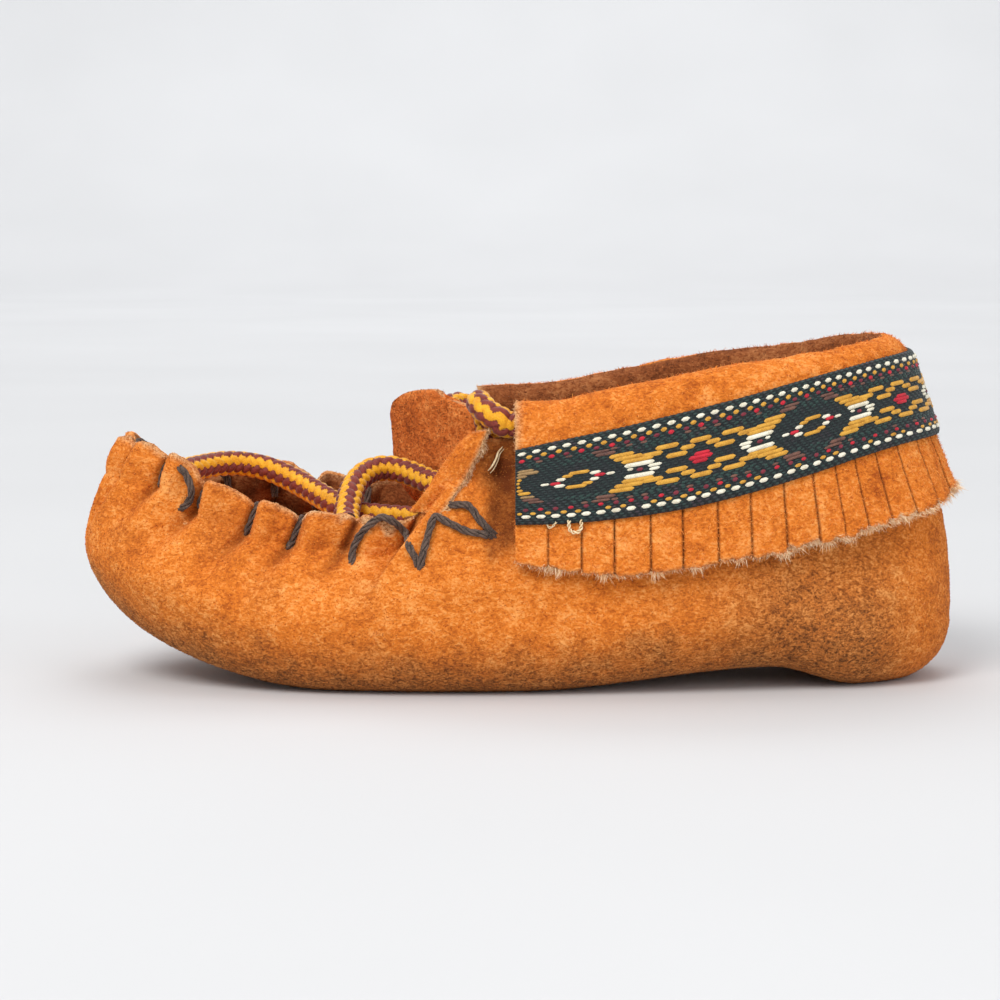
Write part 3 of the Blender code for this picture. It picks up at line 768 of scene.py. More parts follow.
def make_wrap():
    ends = [s * at for at in NOTCHES for s in (-1, 1)]
    cols = 570
    u = graded(ends, -HALF_ROUND, HALF_ROUND, cols + 1)[:-1]
    steps = ((20, 22, 34, 15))
    q = np.concatenate([np.linspace(i, i + 1, n, endpoint=False) for i, n in enumerate(steps)] + [[4.0]])
    q = q[1:]
    p, h = wrap_outer(u[None, :], q[:, None])
    rows = len(q)
    # the cut edge: a slightly rounded top, then down the inside
    n = unit(np.cross(np.roll(p, -1, axis=1) - np.roll(p, 1, axis=1), np.gradient(p, axis=0)))
    column = Columns(u)
    outward = np.stack([column.dx, column.dy, 0 * column.dx], axis=-1)
    if np.mean(np.sum(n[-5] * outward, -1)) < 0:
        n = -n
    top = p[-1]
    rim = [
        top - outward * 0.22 + [0, 0, 0.16],
        top - outward * (HIDE * 0.5) + np.array([0, 0, 0.22]),
        top - outward * (HIDE - 0.22) + [0, 0, 0.14],
    ]
    inner_rows = np.linspace(rows - 1, 0, 28).round().astype(int)
    inward = [p[i] - n[i] * HIDE * np.array([1, 1, 1]) for i in inner_rows]
    inward[0] = top - outward * HIDE - [0, 0, 0.1]
    for k, i in enumerate(inner_rows):
        if q[i] < 1.2:
            inward[k] = p[i] + np.array([0, 0, HIDE])
    spine_out = len(p) * len(u)
    grid = np.concatenate([p, np.stack(rim), np.stack(inward)])
    grid[rows + 1, :, 2] += 0.1 * noise(grid[rows + 1], 0.8, 21)
    total_rows, cols = grid.shape[:2]
    points = grid.reshape(-1, 3)
    faces = [grid_faces(total_rows, cols, wrap_cols=True)]
    # close the sole and the inside along the middle line: columns face each other in pairs
    count = len(u)
    base = len(points)
    pairs = []
    half = count // 2
    spine, inner_spine = [], []
    order = np.argsort(np.abs(u))
    x_out = Columns(u).root
    xs = np.sort(x_out)
    mids = np.interp(np.linspace(0, len(xs) - 1, 140), np.arange(len(xs)), xs)
    spine = np.stack([mids, 0 * mids, floor_lift(mids + HALF)], -1)
    inner = spine + [0, 0, HIDE]
    points = np.vstack([points, spine, inner])
    near = np.clip(np.searchsorted(mids, x_out), 0, len(mids) - 1)
    tris, quads = [], []
    for first, offset, flip in ((0, base, False), (total_rows - 1, base + len(mids), True)):
        for j in range(count):
            k = (j + 1) % count
            a, b = first * cols + j, first * cols + k
            s, t = offset + near[j], offset + near[k]
            face = (s, t, b, a) if s != t else (s, b, a)
            if flip:
                face = tuple(reversed(face))
            (quads if len(face) == 4 else tris).append(face)
    faces = [np.vstack([faces[0], np.array(quads)])] if quads else faces
    if tris:
        faces.append(np.array(tris))
    # masks: wear by height and place, raw on the cut edge, painted shade in the grooves
    flat = points
    z_above = flat[:, 2] - floor_lift(flat[:, 0] + HALF)
    x = flat[:, 0] + HALF
    wear_and_shade = 1 - smooth(0.5, 10.5, z_above + 2.2 * noise(flat, 4.0, 31) + 1.4 * noise(flat, 1.2, 32))
    wear_and_shade = 0.85 * wear_and_shade
    heelward = smooth(80, 104, x)
    wear_and_shade = np.maximum(wear_and_shade, heelward * (0.42 + 0.42 * (1 - smooth(4, 22, z_above + 2.4 * noise(flat, 3.0, 33)))))
    back = smooth(111, 120, x)
    wear_and_shade = wear_and_shade * (1 - 0.75 * back)
    wear_and_shade = np.maximum(wear_and_shade, 0.16 * smooth(0.1, 0.7, noise(flat, 7.0, 34)))
    raw = np.zeros(len(flat))
    rr = np.arange(len(flat)) // cols
    on_grid = np.arange(len(flat)) < total_rows * cols
    ragged = np.clip(0.55 + 0.75 * noise(flat, 1.5, 35), 0, 1)
    more = 0.45 + 0.5 * smooth(24, 34, x) * (1 - smooth(54, 58, x)) + 0.4 * smooth(2.5, 5, x) * (1 - smooth(14, 17, x)) * (flat[:, 1] < 0)
    raw = np.where((rr >= rows) & (rr <= rows + 2) & on_grid, more * (0.5 + 0.5 * ragged), raw)
    raw = np.where((rr == rows - 1) & on_grid, more * 0.6 * ragged, raw)
    raw = np.where((rr == rows - 2) & on_grid, more * 0.25 * ragged, raw)
    raw = np.where((rr == rows + 3) & on_grid, 0.4, raw)
    flap = smooth(36.5, 38.5, x) * (1 - smooth(47.5, 50.0, x)) * (flat[:, 1] < 0)
    depth_of = np.full(len(flat), 9.0)
    depth_of[: rows * cols] = h.reshape(-1)
    raw = np.maximum(raw, flap * 0.85 * (1 - smooth(0.7, 2.0, depth_of + 1.1 * noise(flat, 1.4, 38))))
    # painted shade in the stitched grooves
    groove = np.zeros(len(flat))
    _, off = notch_at(u)
    inside = np.exp(-((off[None, :] / (0.55 + 0.07 * h)) ** 2)) * (1 - smooth(4, 10, h)) * (np.abs(u) < NOTCHES[-1] + 1.5)[None, :]
    groove[: rows * cols] = inside.reshape(-1)
    # painted shade: the corner in front of the cuff is painted darker brown, for the shade that the cuff and the lapel
    # cast there
    corner = smooth(57.2, 59.2, x + 0.7 * noise(flat, 2.4, 39)) * (1 - smooth(62.6, 63.4, x)) * smooth(18.0, 23.5, flat[:, 2] + 1.5 * noise(flat, 2.0, 36))
    upper = smooth(56.0, 57.5, x) * (1 - smooth(62.6, 63.4, x)) * smooth(27.0, 31.0, flat[:, 2] + 1.5 * noise(flat, 2.0, 36))
    groove = np.maximum(groove, np.maximum(1.0 * corner, 0.6 * upper) * (0.85 + 0.4 * noise(flat, 1.6, 37)))
    # the corner's painted shade also goes into the wear channel, for a speckled brown
    wear_and_shade = np.maximum(wear_and_shade, 0.45 * np.maximum(corner, upper))
    index = None
    mask = np.stack([wear_and_shade, raw, groove], -1)
    obj = add_mesh("wrap_suede", points, faces, [M_SUEDE, M_INSIDE_SHADE], mask=mask)
    # painted shade: the inside faces get the darker suede, for the shade inside the bootie
    face_rows = np.zeros(len(obj.data.polygons), np.int32)
    first_vertex = np.zeros(len(obj.data.polygons), np.int64)
    starts = np.zeros(len(obj.data.polygons), np.int32)
    obj.data.polygons.foreach_get("loop_start", starts)
    loops = np.zeros(len(obj.data.loops), np.int32)
    obj.data.loops.foreach_get("vertex_index", loops)
    first_vertex = loops[starts]
    face_rows = ((first_vertex // cols) >= rows + 3) | (first_vertex >= base + len(mids))
    obj.data.polygons.foreach_set("material_index", face_rows.astype(np.int32))
    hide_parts("wrap_sole_and_sides")
    return obj, p, n, h, u, q, mask[: rows * cols].reshape(rows, cols, 3)


def tree_of(obj):
    mesh = obj.data
    co = np.zeros(len(mesh.vertices) * 3, np.float32)
    mesh.vertices.foreach_get("co", co)
    return BVHTree.FromPolygons(
        [Vector(c) for c in co.reshape(-1, 3)], [tuple(f.vertices) for f in mesh.polygons], epsilon=0.0
    )


def side_point(tree, from_toe, z, side, lift=0.0):
    """The place on a piece's outer side at a station and height, seen square from that side."""
    origin = placed(np.array([from_toe - HALF, side * 60.0, z]))
    hit, normal, _, _ = tree.ray_cast(Vector(origin), Vector((0, -side, 0)))
    if hit is None:
        hit, normal, _, _ = tree.find_nearest(Vector(placed(np.array([from_toe - HALF, side * 22.0, z]))))
    if normal.y * side < 0:
        normal = -normal
    point = np.array(hit) * 1000 + [FRINGE_BEHIND / 2, 0, 0]
    return point + np.array(normal) * lift, np.array(normal)


def outermost(trees, from_toe, z, side, lift=0.0):
    """The same on several pieces, on whichever lies outside."""
    found = [side_point(tree, from_toe, z, side, lift) for tree in trees]
    return max(found, key=lambda f: f[0][1] * side)


# The turned-back front edge of each side below the cuff: where its fold and its cut edge run, by station and height.
LAPEL_FOLD = ((48.0, 25.4), (49.3, 27.2), (51.0, 29.6), (53.3, 33.0), (55.0, 35.4), (56.4, 36.6))
LAPEL_CUT = ((51.6, 25.4), (53.1, 27.4), (55.0, 30.2), (56.6, 33.0), (57.5, 35.6), (57.9, 36.9))


def make_lapel(tree, side):
    """The hide's front edge, folded outwards against the wall, with its raw cut edge facing the heel."""
    count = 60
    t = np.linspace(0, 1, count)
    at = np.linspace(0, 1, len(LAPEL_FOLD))
    last = 1.0 if side < 0 else 0.80
    fold = np.stack([np.interp(t * last, at, np.array(LAPEL_FOLD)[:, k]) for k in range(2)], 1)
    cut = np.stack([np.interp(t * last, at, np.array(LAPEL_CUT)[:, k]) for k in range(2)], 1)
    for line in (fold, cut):
        for _ in range(12):
            line[1:-1] += 0.5 * ((line[:-2] + line[2:]) / 2 - line[1:-1])
    across = cut - fold
    width = np.linalg.norm(across, axis=1)
    across = across / width[:, None]
    section = [(0.4, -1.9, 0), (-0.3, -1.5, 0), (-0.65, -0.7, 0), (-0.7, 0.2, 0), (-0.45, 0.9, 0), (0.1, 1.3, 0)]
    section += [(f, 1.45, 1) for f in (0.22, 0.4, 0.6, 0.8, 0.95)]
    section += [(0.12, 1.30, 2), (0.38, 0.9, 2), (0.66, 0.45, 2), (0.95, 0.0, 2), (1.1, -0.6, 2)]
    rows = []
    for i in range(count):
        rise = smooth(0.0, 0.45, t[i])
        line = []
        for d, lift, kind in section:
            along = d if kind == 0 else (d * width[i] if kind == 1 else width[i] + d * (0.75 + 0.35 * math.sin(i * 0.35)))
            x, z = fold[i] + across[i] * along
            low = min(z, float(wall(x, "top")) - 0.9)
            point, normal = side_point(tree, x, low, side)
            point = point + [0, 0, z - low]
            lift = lift * rise if lift > 0 else lift
            line.append(point + np.array([normal[0] * 0.3, normal[1], 0]) * lift)
        rows.append(line)
    p = np.array(rows)
    for _ in range(3):
        p[1:-1] += 0.4 * ((p[:-2] + p[2:]) / 2 - p[1:-1])
    p += np.array([0, side, 0]) * (0.10 * noise(p, 2.2, 91) + 0.05 * noise(p, 0.8, 92))[..., None]
    n = p.shape[1]
    points = np.vstack([p.reshape(-1, 3), p[0].mean(0), p[-1].mean(0)])
    quads = grid_faces(count, n, wrap_cols=True, flip=side > 0)
    j = np.arange(n)
    k = (j + 1) % n
    start, end = count * n, count * n + 1
    tris = np.concatenate([np.stack([np.full(n, start), k, j], 1), np.stack([np.full(n, end), (count - 1) * n + j, (count - 1) * n + k], 1)])
    if side > 0:
        tris = tris[:, ::-1]
    mask = np.zeros((count, n, 3))
    for m, (_, _, kind) in enumerate(section):
        if kind == 2:
            mask[:, m, 1] = 0.95
    mask[:, len(section) - 6, 1] = 0.35
    mask = np.vstack([mask.reshape(-1, 3), [[0, 0.6, 0]] * 2])
    obj = add_mesh(f"lapel_{'near' if side < 0 else 'far'}", points, [quads, tris], [M_SUEDE], mask=mask)
    return obj


# --------------------------------------------------------------- vamp plug
def seam_height(from_toe):
    at = np.minimum(from_toe, 46.0)
    depth = 5.3 + 3.4 * np.maximum(0.0, 1 - np.asarray(from_toe) / 26) ** 0.8
    return wall(np.maximum(0.0, at - 3.0), "top") - depth


def inner_edge(from_toe, height):
    """How far across the wrap's inner face is at stations and heights."""
    c = Columns(np.linspace(0.5, HALF_ROUND - 0.5, 500))
    q = np.linspace(1.0, 4.0, 60)
    r, z = c.profile(q[:, None], 0 * c.run)
    r, z = r - HIDE, z
    out = []
    for x, zz in zip(np.atleast_1d(from_toe), np.atleast_1d(height)):
        rr = np.array([np.interp(zz, z[:, j], r[:, j]) for j in range(0, len(c.run), 4)])
        xs = c.root[::4] + c.dx[::4] * rr + HALF
        ys = np.abs(c.dy[::4] * rr)
        order = np.argsort(xs)
        out.append(np.interp(x, xs[order], ys[order]))
    return np.array(out)


def thick_plate(name, top, normal, thick, materials, mask, edge_mask, rounded=0.3):
    """A closed plate from one grid of points: a face, a rounded cut edge and a back."""
    rows, cols = top.shape[:2]
    back = top + normal * thick
    rim_index = (
        [(0, j) for j in range(cols)]
        + [(i, cols - 1) for i in range(1, rows)]
        + [(rows - 1, j) for j in range(cols - 2, -1, -1)]
        + [(i, 0) for i in range(rows - 2, 0, -1)]
    )
    points = [top.reshape(-1, 3), back.reshape(-1, 3)]
    centre_ring = []
    n = rows * cols
    ii = np.array([i for i, _ in rim_index])
    jj = np.array([j for _, j in rim_index])
    rim_top, rim_back = top[ii, jj], back[ii, jj]
    along = np.roll(rim_top, -1, axis=0) - np.roll(rim_top, 1, axis=0)
    outward = unit(np.cross(along, normal[ii, jj]))
    centre = top.reshape(-1, 3).mean(0)
    if np.mean(np.sum(outward * (rim_top - centre), -1)) < 0:
        outward = -outward
    ring_a = rim_top * 0.78 + rim_back * 0.22 + outward * rounded
    ring_b = rim_top * 0.22 + rim_back * 0.78 + outward * rounded
    points += [ring_a, ring_b]
    m = len(rim_index)
    ids_top = ii * cols + jj
    ids_back = n + ids_top
    ids_a, ids_b = 2 * n + np.arange(m), 2 * n + m + np.arange(m)
    faces = [grid_faces(rows, cols), grid_faces(rows, cols, base=n, flip=True)]
    for first, second in ((ids_top, ids_a), (ids_a, ids_b), (ids_b, ids_back)):
        k = np.roll(np.arange(m), -1)
        faces.append(np.stack([first, second, second[k], first[k]], 1))
    masks = np.vstack([mask.reshape(-1, 3), mask.reshape(-1, 3), np.tile(edge_mask, (2 * m, 1))])
    obj = add_mesh(name, np.vstack(points), np.vstack(faces), materials, mask=masks)
    back_first = (rows - 1) * (cols - 1)
    index = np.zeros(len(obj.data.polygons), np.int32)
    index[back_first : 2 * back_first] = 1
    if len(obj.data.materials) > 1:
        obj.data.polygons.foreach_set("material_index", index)
    return obj


def make_plug():
    x = PLUG_FROM + (PLUG_TO - PLUG_FROM) * np.linspace(0, 1, 90) ** 1.2
    edge = seam_height(x)
    half = np.minimum(inner_edge(x, edge), inner_edge(x, edge - HIDE)) - GAP - 0.1
    # it gives way wherever a groove of the ruffle presses in
    for at in NOTCHES[2:]:
        middle = float(np.interp(at - float(tab_shift(np.array(6.0))), _run, _line_x)) + HALF
        half = half - 2.5 * np.exp(-(((x - middle) / 2.1) ** 2))
    half = np.maximum(half, 1.2)
    across = np.linspace(-1, 1, 61)
    crown = PLUG_CROWN * np.minimum(1.0, half / 12)
    px = x[:, None] - HALF + 0 * across[None, :]
    py = half[:, None] * across[None, :]
    pucker = 0.35 * np.cos(px * 2 * math.pi / 8.6) * smooth(0.6, 1.0, np.abs(across))[None, :]
    pz = edge[:, None] + crown[:, None] * (1 - across[None, :] ** 2) + pucker - 0.1
    # on the far side of the toe it sinks with the ruffle's lower edge
    pz = pz - 2.4 * smooth(0.0, 1.0, across)[None, :] * (1 - smooth(15.0, 21.0, x))[:, None]
    top = np.stack([px, py, pz], -1)
    top[..., 2] += 0.10 * noise(top, 5.0, 41) + 0.06 * noise(top, 1.1, 42)
    normal = np.zeros_like(top)
    normal[..., 2] = -1
    mask = np.zeros(top.shape)
    # painted shade along the plug's sides, where it meets the walls
    mask[..., 2] = 0.35 * smooth(0.8, 1.0, np.abs(across))[None, :]
    obj = thick_plate("vamp_plug_suede", top, normal, HIDE, [M_SUEDE, M_INSIDE_SHADE], mask, (0, 0.8, 0))
    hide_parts("vamp_plug")
    return obj, top


# ------------------------------------------------------------------ tongue
def make_tongue():
    rows = np.array(TONGUE)
    heights = rows[:, 1]
    z = np.concatenate([np.linspace(heights[0], 38.2, 62), 38.2 + (heights[-1] - 38.2) * np.sin(np.linspace(0, 1, 30)[1:] * math.pi / 2)])
    def col(k):
        return eased(z, heights, rows[:, k])
    half = col(3)
    # the sides run straight up and the two top corners are rounded
    crown_from = 36.4
    t = np.clip((z - crown_from) / (heights[-1] - crown_from), 0, 1)
    half = np.where(z > crown_from, 10.5 * (1 - t**2.6) ** (1 / 2.2), half)
    half = np.maximum(half, 1.6)
    across = np.linspace(-1, 1, 67)
    top, normals = [], []
    for i, zz in enumerate(z):
        lo, hi = max(0, i - 1), min(len(z) - 1, i + 1)
        xs, ys, turn = col(0), col(2), col(4)
        rise = np.array([xs[hi] - xs[lo], z[hi] - z[lo]])
        rise /= np.linalg.norm(rise)
        a = math.radians(turn[i])
        side = np.array([-math.sin(a), math.cos(a), 0.0])
        up = np.array([rise[0], 0.0, rise[1]])
        normal = unit(np.cross(side, up))
        bow = 1.1 * (1 - across**2) * min(1.0, half[i] / 9)
        line = np.array([xs[i] - HALF, ys[i], zz]) + side * (half[i] * across)[:, None] - normal * bow[:, None]
        # the corner by the collar hangs lower
        drop = 0.5 * smooth(33.0, 41.6, zz) + 1.1 * np.clip(0.1 - across, 0, 1.1) ** 1.6 * smooth(29.0, 41.0, zz)
        line[:, 2] -= drop
        top.append(line)
        normals.append(np.broadcast_to(normal, line.shape))
    top, normals = np.array(top), np.array(normals)
    ripple = 0.28 * noise(top, 6.0, 51) + 0.12 * noise(top, 1.2, 52) + 0.07 * noise(top, 0.7, 53)
    top = top - normals * ripple[..., None]
    mask = np.zeros(top.shape)
    obj = thick_plate("tongue_suede", top, normals, HIDE, [M_TONGUE, M_TONGUE], mask, (0, 0.55, 0), rounded=0.12)
    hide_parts("tongue")
    return obj, top, normals


# ------------------------------------------------------------------ insole
def make_insole():
    runs = HALF_ROUND * (np.linspace(0.5 / 22, 1 - 0.5 / 22, 130))
    right, left = Columns(runs), Columns(-runs)
    reach = right.reach - right.corner_in + 0.6
    across = np.linspace(-1, 1, 41)
    rows = []
    for t in across:
        c = right if t >= 0 else left
        p = c.point(reach * abs(t), 0 * reach)
        p[:, 2] = floor_lift(p[:, 0] + HALF) + HIDE + GAP + 1.5
        rows.append(p)
    top = np.stack(rows, 1)
    top[..., 2] += 0.07 * noise(top, 1.2, 61) + 0.12 * noise(top, 9.0, 62)
    x = top[..., 0] + HALF
    # soft hollows where a heel and a ball have pressed
    press = np.exp(-(((x - 106) / 13) ** 2) - (top[..., 1] / 11) ** 2) + np.exp(-(((x - 42) / 16) ** 2) - (top[..., 1] / 14) ** 2)
    top[..., 2] -= 0.35 * press
    normal = np.zeros_like(top)
    normal[..., 2] = -1
    mask = np.zeros(top.shape)
    mask[..., 0] = 0.5 * press
    obj = thick_plate("insole_suede", top, normal, 1.15, [M_INSOLE, M_INSOLE], mask, (0, 0.6, 0), rounded=0.1)
    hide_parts("insole")
    return obj, top


# -------------------------------------------------------------------- cuff
def outer_face(c, height):
    """How far out the wrap's outer face is in each column at each height."""
    q = np.linspace(1.0, 4.0, 80)
    r, z = c.profile(q[:, None], 0 * c.run)
    height = np.asarray(height, float) + 0 * c.run
    return np.array([np.interp(height[j], z[:, j], r[:, j]) for j in range(len(c.run))])


def casing_middle(c):
    return c.reach - c.inset + 0.35 - HIDE / 2, c.top + GAP + LACE_D / 2


def cuff_section(c):
    """The cuff's outer and inner faces in each column, from the hem up and over the cord to the inside."""
    mid, centre = casing_middle(c)
    hem = cuff_at(c.from_toe, "hem")
    flare = 0.8 + 1.4 * np.maximum(0.0, (c.from_toe - 95) / 30)
    outer, inner = [], []
    foot, shoulder = outer_face(c, hem) + GAP + flare, mid + LACE_D / 2 + GAP
    for t in (0.0, 0.25, 0.5, 0.75, 1.0):
        z = hem + (c.top - 0.6 - hem) * t
        sewn = outer_face(c, z) + GAP + flare * (1 - t) ** 2
        r = np.maximum(sewn, foot + (shoulder - foot) * (z - hem) / (centre - hem))
        inner.append((r, z))
        outer.append((r + CUFF_HIDE, z))
    for degrees in (5, 35, 65, 90, 115, 145, 175):
        a = math.radians(degrees)
        near, far = LACE_D / 2 + GAP, LACE_D / 2 + GAP + CUFF_HIDE
        inner.append((mid + near * math.cos(a), centre + near * math.sin(a)))
        outer.append((mid + far * math.cos(a), centre + far * math.sin(a)))
    face = mid - HIDE / 2 - GAP
    for drop, lean in ((1.2, 0.0), (CASING_TURN, 0.3)):
        inner.append((face - lean, c.top - drop))
        outer.append((face - lean - CUFF_HIDE, c.top - drop))
    return np.array(outer), np.array(inner)


CUFF_START = float(run_at(CUFF_FRONT))
CUFF_END = float(run_at(FAR_FRONT))
CUFF_SPAN = 2 * HALF_ROUND - CUFF_START - CUFF_END


def cuff_run(s):
    """Outline place at s from 0 at the near front, round the heel, to 1 at the far front. It stays continuous."""
    return -(CUFF_START + s * CUFF_SPAN)


def resample(line, count, power=1.0):
    """Evenly spaced points along polylines: line is (k, columns, 2)."""
    steps = np.linalg.norm(np.diff(line, axis=0), axis=-1)
    run = np.concatenate([np.zeros((1, line.shape[1])), np.cumsum(steps, axis=0)])
    run = run / run[-1]
    out = np.zeros((count, line.shape[1], 2))
    at = np.linspace(0, 1, count)
    for j in range(line.shape[1]):
        for k in range(2):
            out[:, j, k] = np.interp(at, run[:, j], line[:, j, k])
    return out


def relaxed(line, rounds=6):
    line = line.copy()
    for _ in range(rounds):
        line[1:-1] += 0.5 * ((line[:-2] + line[2:]) / 2 - line[1:-1])
    return line


def make_cuff():
    """The fold of the cuff: its outer face from behind the braid, over the cord and down inside."""
    cols = 240
    s = np.linspace(0, 1, cols)
    c = Columns(cuff_run(s))
    outer, inner = cuff_section(c)
    outer = outer.transpose(0, 2, 1)
    inner = inner.transpose(0, 2, 1)
    rows = 70
    outer = relaxed(resample(outer, rows))
    inner = relaxed(resample(inner, rows))
    # Below the braid's lower edge the fringe takes over.
    low = cuff_at(c.from_toe, "braid_low") + 1.2
    start = np.argmax(outer[:, :, 1] > low[None, :] , axis=0)
    def cut(line):
        out = np.zeros_like(line)
        for j in range(cols):
            z0 = low[j]
            keep = line[start[j] :, j]
            first = np.array([[np.interp(z0, line[: rows // 2, j, 1], line[: rows // 2, j, 0]), z0]])
            whole = np.vstack([first, keep])
            run = np.concatenate([[0], np.cumsum(np.linalg.norm(np.diff(whole, axis=0), axis=1))])
            at = np.linspace(0, run[-1], rows)
            out[:, j, 0] = np.interp(at, run, whole[:, 0])
            out[:, j, 1] = np.interp(at, run, whole[:, 1])
        return out
    outer, inner = cut(outer), cut(inner)
    p_out = c.point(outer[..., 0], outer[..., 1])
    p_in = c.point(inner[..., 0], inner[..., 1])
    n = unit(np.cross(np.gradient(p_out, axis=1), np.gradient(p_out, axis=0)))
    outward = np.stack([c.dx, c.dy, 0 * c.dx], -1)
    if np.mean(np.sum(n[3] * outward, -1)) < 0:
        n = -n
    t = np.linspace(0, 1, rows)[:, None]
    # the fold is a little uneven, and hardly moves under the braid
    free = smooth(0.30, 0.5, t)
    move = (0.28 * noise(p_out, 7.0, 71) + 0.16 * noise(p_out, 3.0, 72)) * free + 0.07 * noise(p_out, 1.2, 73) + 0.045 * noise(p_out, 0.7, 74)
    p_out = p_out + n * (move - 0.12)[..., None]
    edge = np.stack([p_out[-1] * 0.78 + p_in[-1] * 0.22, p_out[-1] * 0.22 + p_in[-1] * 0.78])
    edge[..., 2] -= 0.25
    ring = np.concatenate([p_out, edge, p_in[::-1]])
    total = len(ring)
    points = ring.reshape(-1, 3)
    quads = grid_faces(total, cols)
    closing = []
    first, last = np.arange(cols), (total - 1) * cols + np.arange(cols)
    closing.append(np.stack([last[:-1], last[1:], first[1:], first[:-1]], 1))
    # the two front ends are cut edges between the faces
    ends = []
    for j, flip in ((0, False), (cols - 1, True)):
        a = np.arange(rows - 1)
        out_a, out_b = a * cols + j, (a + 1) * cols + j
        in_a, in_b = (total - 1 - a) * cols + j, (total - 2 - a) * cols + j
        face = np.stack([out_a, out_b, in_b, in_a], 1)
        ends.append(face[:, ::-1] if flip else face)
        k = np.array([[(rows - 1) * cols + j, rows * cols + j, (rows + 1) * cols + j, (rows + 2) * cols + j]])
        ends.append(k[:, ::-1] if flip else k)
    faces = np.vstack([quads] + closing + ends)
    mask = np.zeros((total, cols, 3))
    mask[rows : rows + 2, :, 1] = 0.8
    mask[:, 0, 1] = 0.75
    mask[:, -1, 1] = 0.75
    mask[:, 1, 1] = 0.3
    mask[:, -2, 1] = 0.3
    obj = add_mesh("cuff_suede", points, faces, [M_SUEDE, M_INSIDE_SHADE], mask=mask.reshape(-1, 3))
    # painted shade: from the top of the fold inwards the leather gets the darker suede, for the shade inside
    starts = np.zeros(len(obj.data.polygons), np.int32)
    obj.data.polygons.foreach_get("loop_start", starts)
    loops = np.zeros(len(obj.data.loops), np.int32)
    obj.data.loops.foreach_get("vertex_index", loops)
    row_of, col_of = loops[starts] // cols, loops[starts] % cols
    crest = outer[:, :, 1].argmax(axis=0)
    z_top = row_of >= crest[col_of] + 1
    obj.data.polygons.foreach_set("material_index", z_top.astype(np.int32))
    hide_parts("cuff_with_casing")
    return obj, c, p_out, n, t


SLITS = (4.5, 9.1, 13.6, 18.6, 23.0, 27.9, 32.5, 37.4, 41.9, 45.6, 49.0, 52.8, 57.0, 61.4, 65.8, 70.2, 74.6)


def make_fringe():
    """The hem of the cuff, cut upwards into short strips."""
    parts = Parts()
    per_side = list(SLITS)
    whole = CUFF_SPAN
    extra = CUFF_START - CUFF_END
    cuts = [0.0] + per_side + [whole - extra - c for c in reversed(per_side)] + [whole - 5.2, whole]
    cuts = sorted(cuts)
    local = np.random.default_rng(11)
    hem_line = []
    for i, (a, b) in enumerate(zip(cuts, cuts[1:])):
        gap = 0.02 + 0.045 * local.random() ** 1.5
        left = a if i == 0 else a + gap
        right = b if i == len(cuts) - 2 else b - gap
        n_cols = 17
        n_rows = 24
        s = np.linspace(left, right, n_cols)
        c = Columns(cuff_run(s / whole))
        outer, inner = cuff_section(c)
        outer, inner = outer.transpose(0, 2, 1)[:7], inner.transpose(0, 2, 1)[:7]
        low = cuff_at(c.from_toe, "braid_low") + 1.6
        hem = cuff_at(c.from_toe, "hem")
        away = (s - left) / max(right - left, 1e-6)
        ragged = (0.28 + 0.22 * smooth(26, 44, min(a, whole - a))) * noise(np.stack([s, 0 * s + i * 7.1, 0 * s], -1), 0.9, 81) + 0.35 * (local.random() - 0.5)
        ragged = ragged + 0.22 * (np.abs(away - 0.5) * 2) ** 4
        lift = (local.random() - 0.4) * 0.30
        roll = (local.random() - 0.5) * 0.22
        tt = np.linspace(0, 1, n_rows)[:, None]
        z = (hem + ragged)[None, :] * (1 - tt) + low[None, :] * tt
        r_out = np.array([np.interp(z[:, j], outer[:, j, 1], outer[:, j, 0]) for j in range(n_cols)]).T
        r_in = np.array([np.interp(z[:, j], inner[:, j, 1], inner[:, j, 0]) for j in range(n_cols)]).T
        swing = (1 - tt) ** 1.4 * (lift + roll * (away[None, :] - 0.5) * 2)
        swing = np.maximum(swing, -0.15)
        # each strip is a little rounded over its width
        bow = 0.20 * (1 - (np.abs(away[None, :] - 0.5) * 2) ** 5.0) * (1 - 0.75 * tt)
        p_out = c.point(r_out + swing + bow - 0.16, z)
        p_in = c.point(r_in + swing + 0.05, z)
        normal = np.stack([c.dx, c.dy, 0 * c.dx], -1)[None]
        p_out = p_out + normal * (0.09 * noise(p_out, 1.2, 82) + 0.05 * noise(p_out, 0.7, 83))[..., None]
        ring = np.concatenate([p_out[::-1], (p_out[0] * 0.75 + p_in[0] * 0.25)[None] - [0, 0, 0.16], (p_out[0] * 0.25 + p_in[0] * 0.75)[None] - [0, 0, 0.16], p_in])
        total = len(ring)
        quads = [grid_faces(total, n_cols, flip=True)]
        first, last = np.arange(n_cols), (total - 1) * n_cols + np.arange(n_cols)
        quads.append(np.stack([last[:-1], last[1:], first[1:], first[:-1]], 1)[:, ::-1])
        for j, flip in ((0, True), (n_cols - 1, False)):
            k = np.arange(n_rows - 1)
            face = np.stack([k * n_cols + j, (k + 1) * n_cols + j, (total - 2 - k) * n_cols + j, (total - 1 - k) * n_cols + j], 1)
            quads.append(face[:, ::-1] if flip else face)
            face = np.array([[(n_rows - 1) * n_cols + j, n_rows * n_cols + j, (n_rows + 1) * n_cols + j, (n_rows + 2) * n_cols + j]])
            quads.append(face[:, ::-1] if flip else face)
        mask = np.zeros((total, n_cols, 3))
        mask[n_rows : n_rows + 2, :, 1] = 0.7
        mask[n_rows - 1, :, 1] = 0.2
        # painted shade down the cut sides of each strip, in the slits
        if i > 0:
            mask[:, 0, 2] = 0.8
        if i < len(cuts) - 2:
            mask[:, -1, 2] = 0.8
        parts.add(ring.reshape(-1, 3), np.vstack(quads), None, 0, mask.reshape(-1, 3))
        hem_line.append(np.stack([p_out[0] * 0.6 + p_in[0] * 0.4, np.broadcast_to(normal[0], p_out[0].shape)], 1))
    obj = parts.build("cuff_fringe", [M_SUEDE])
    return obj, hem_line


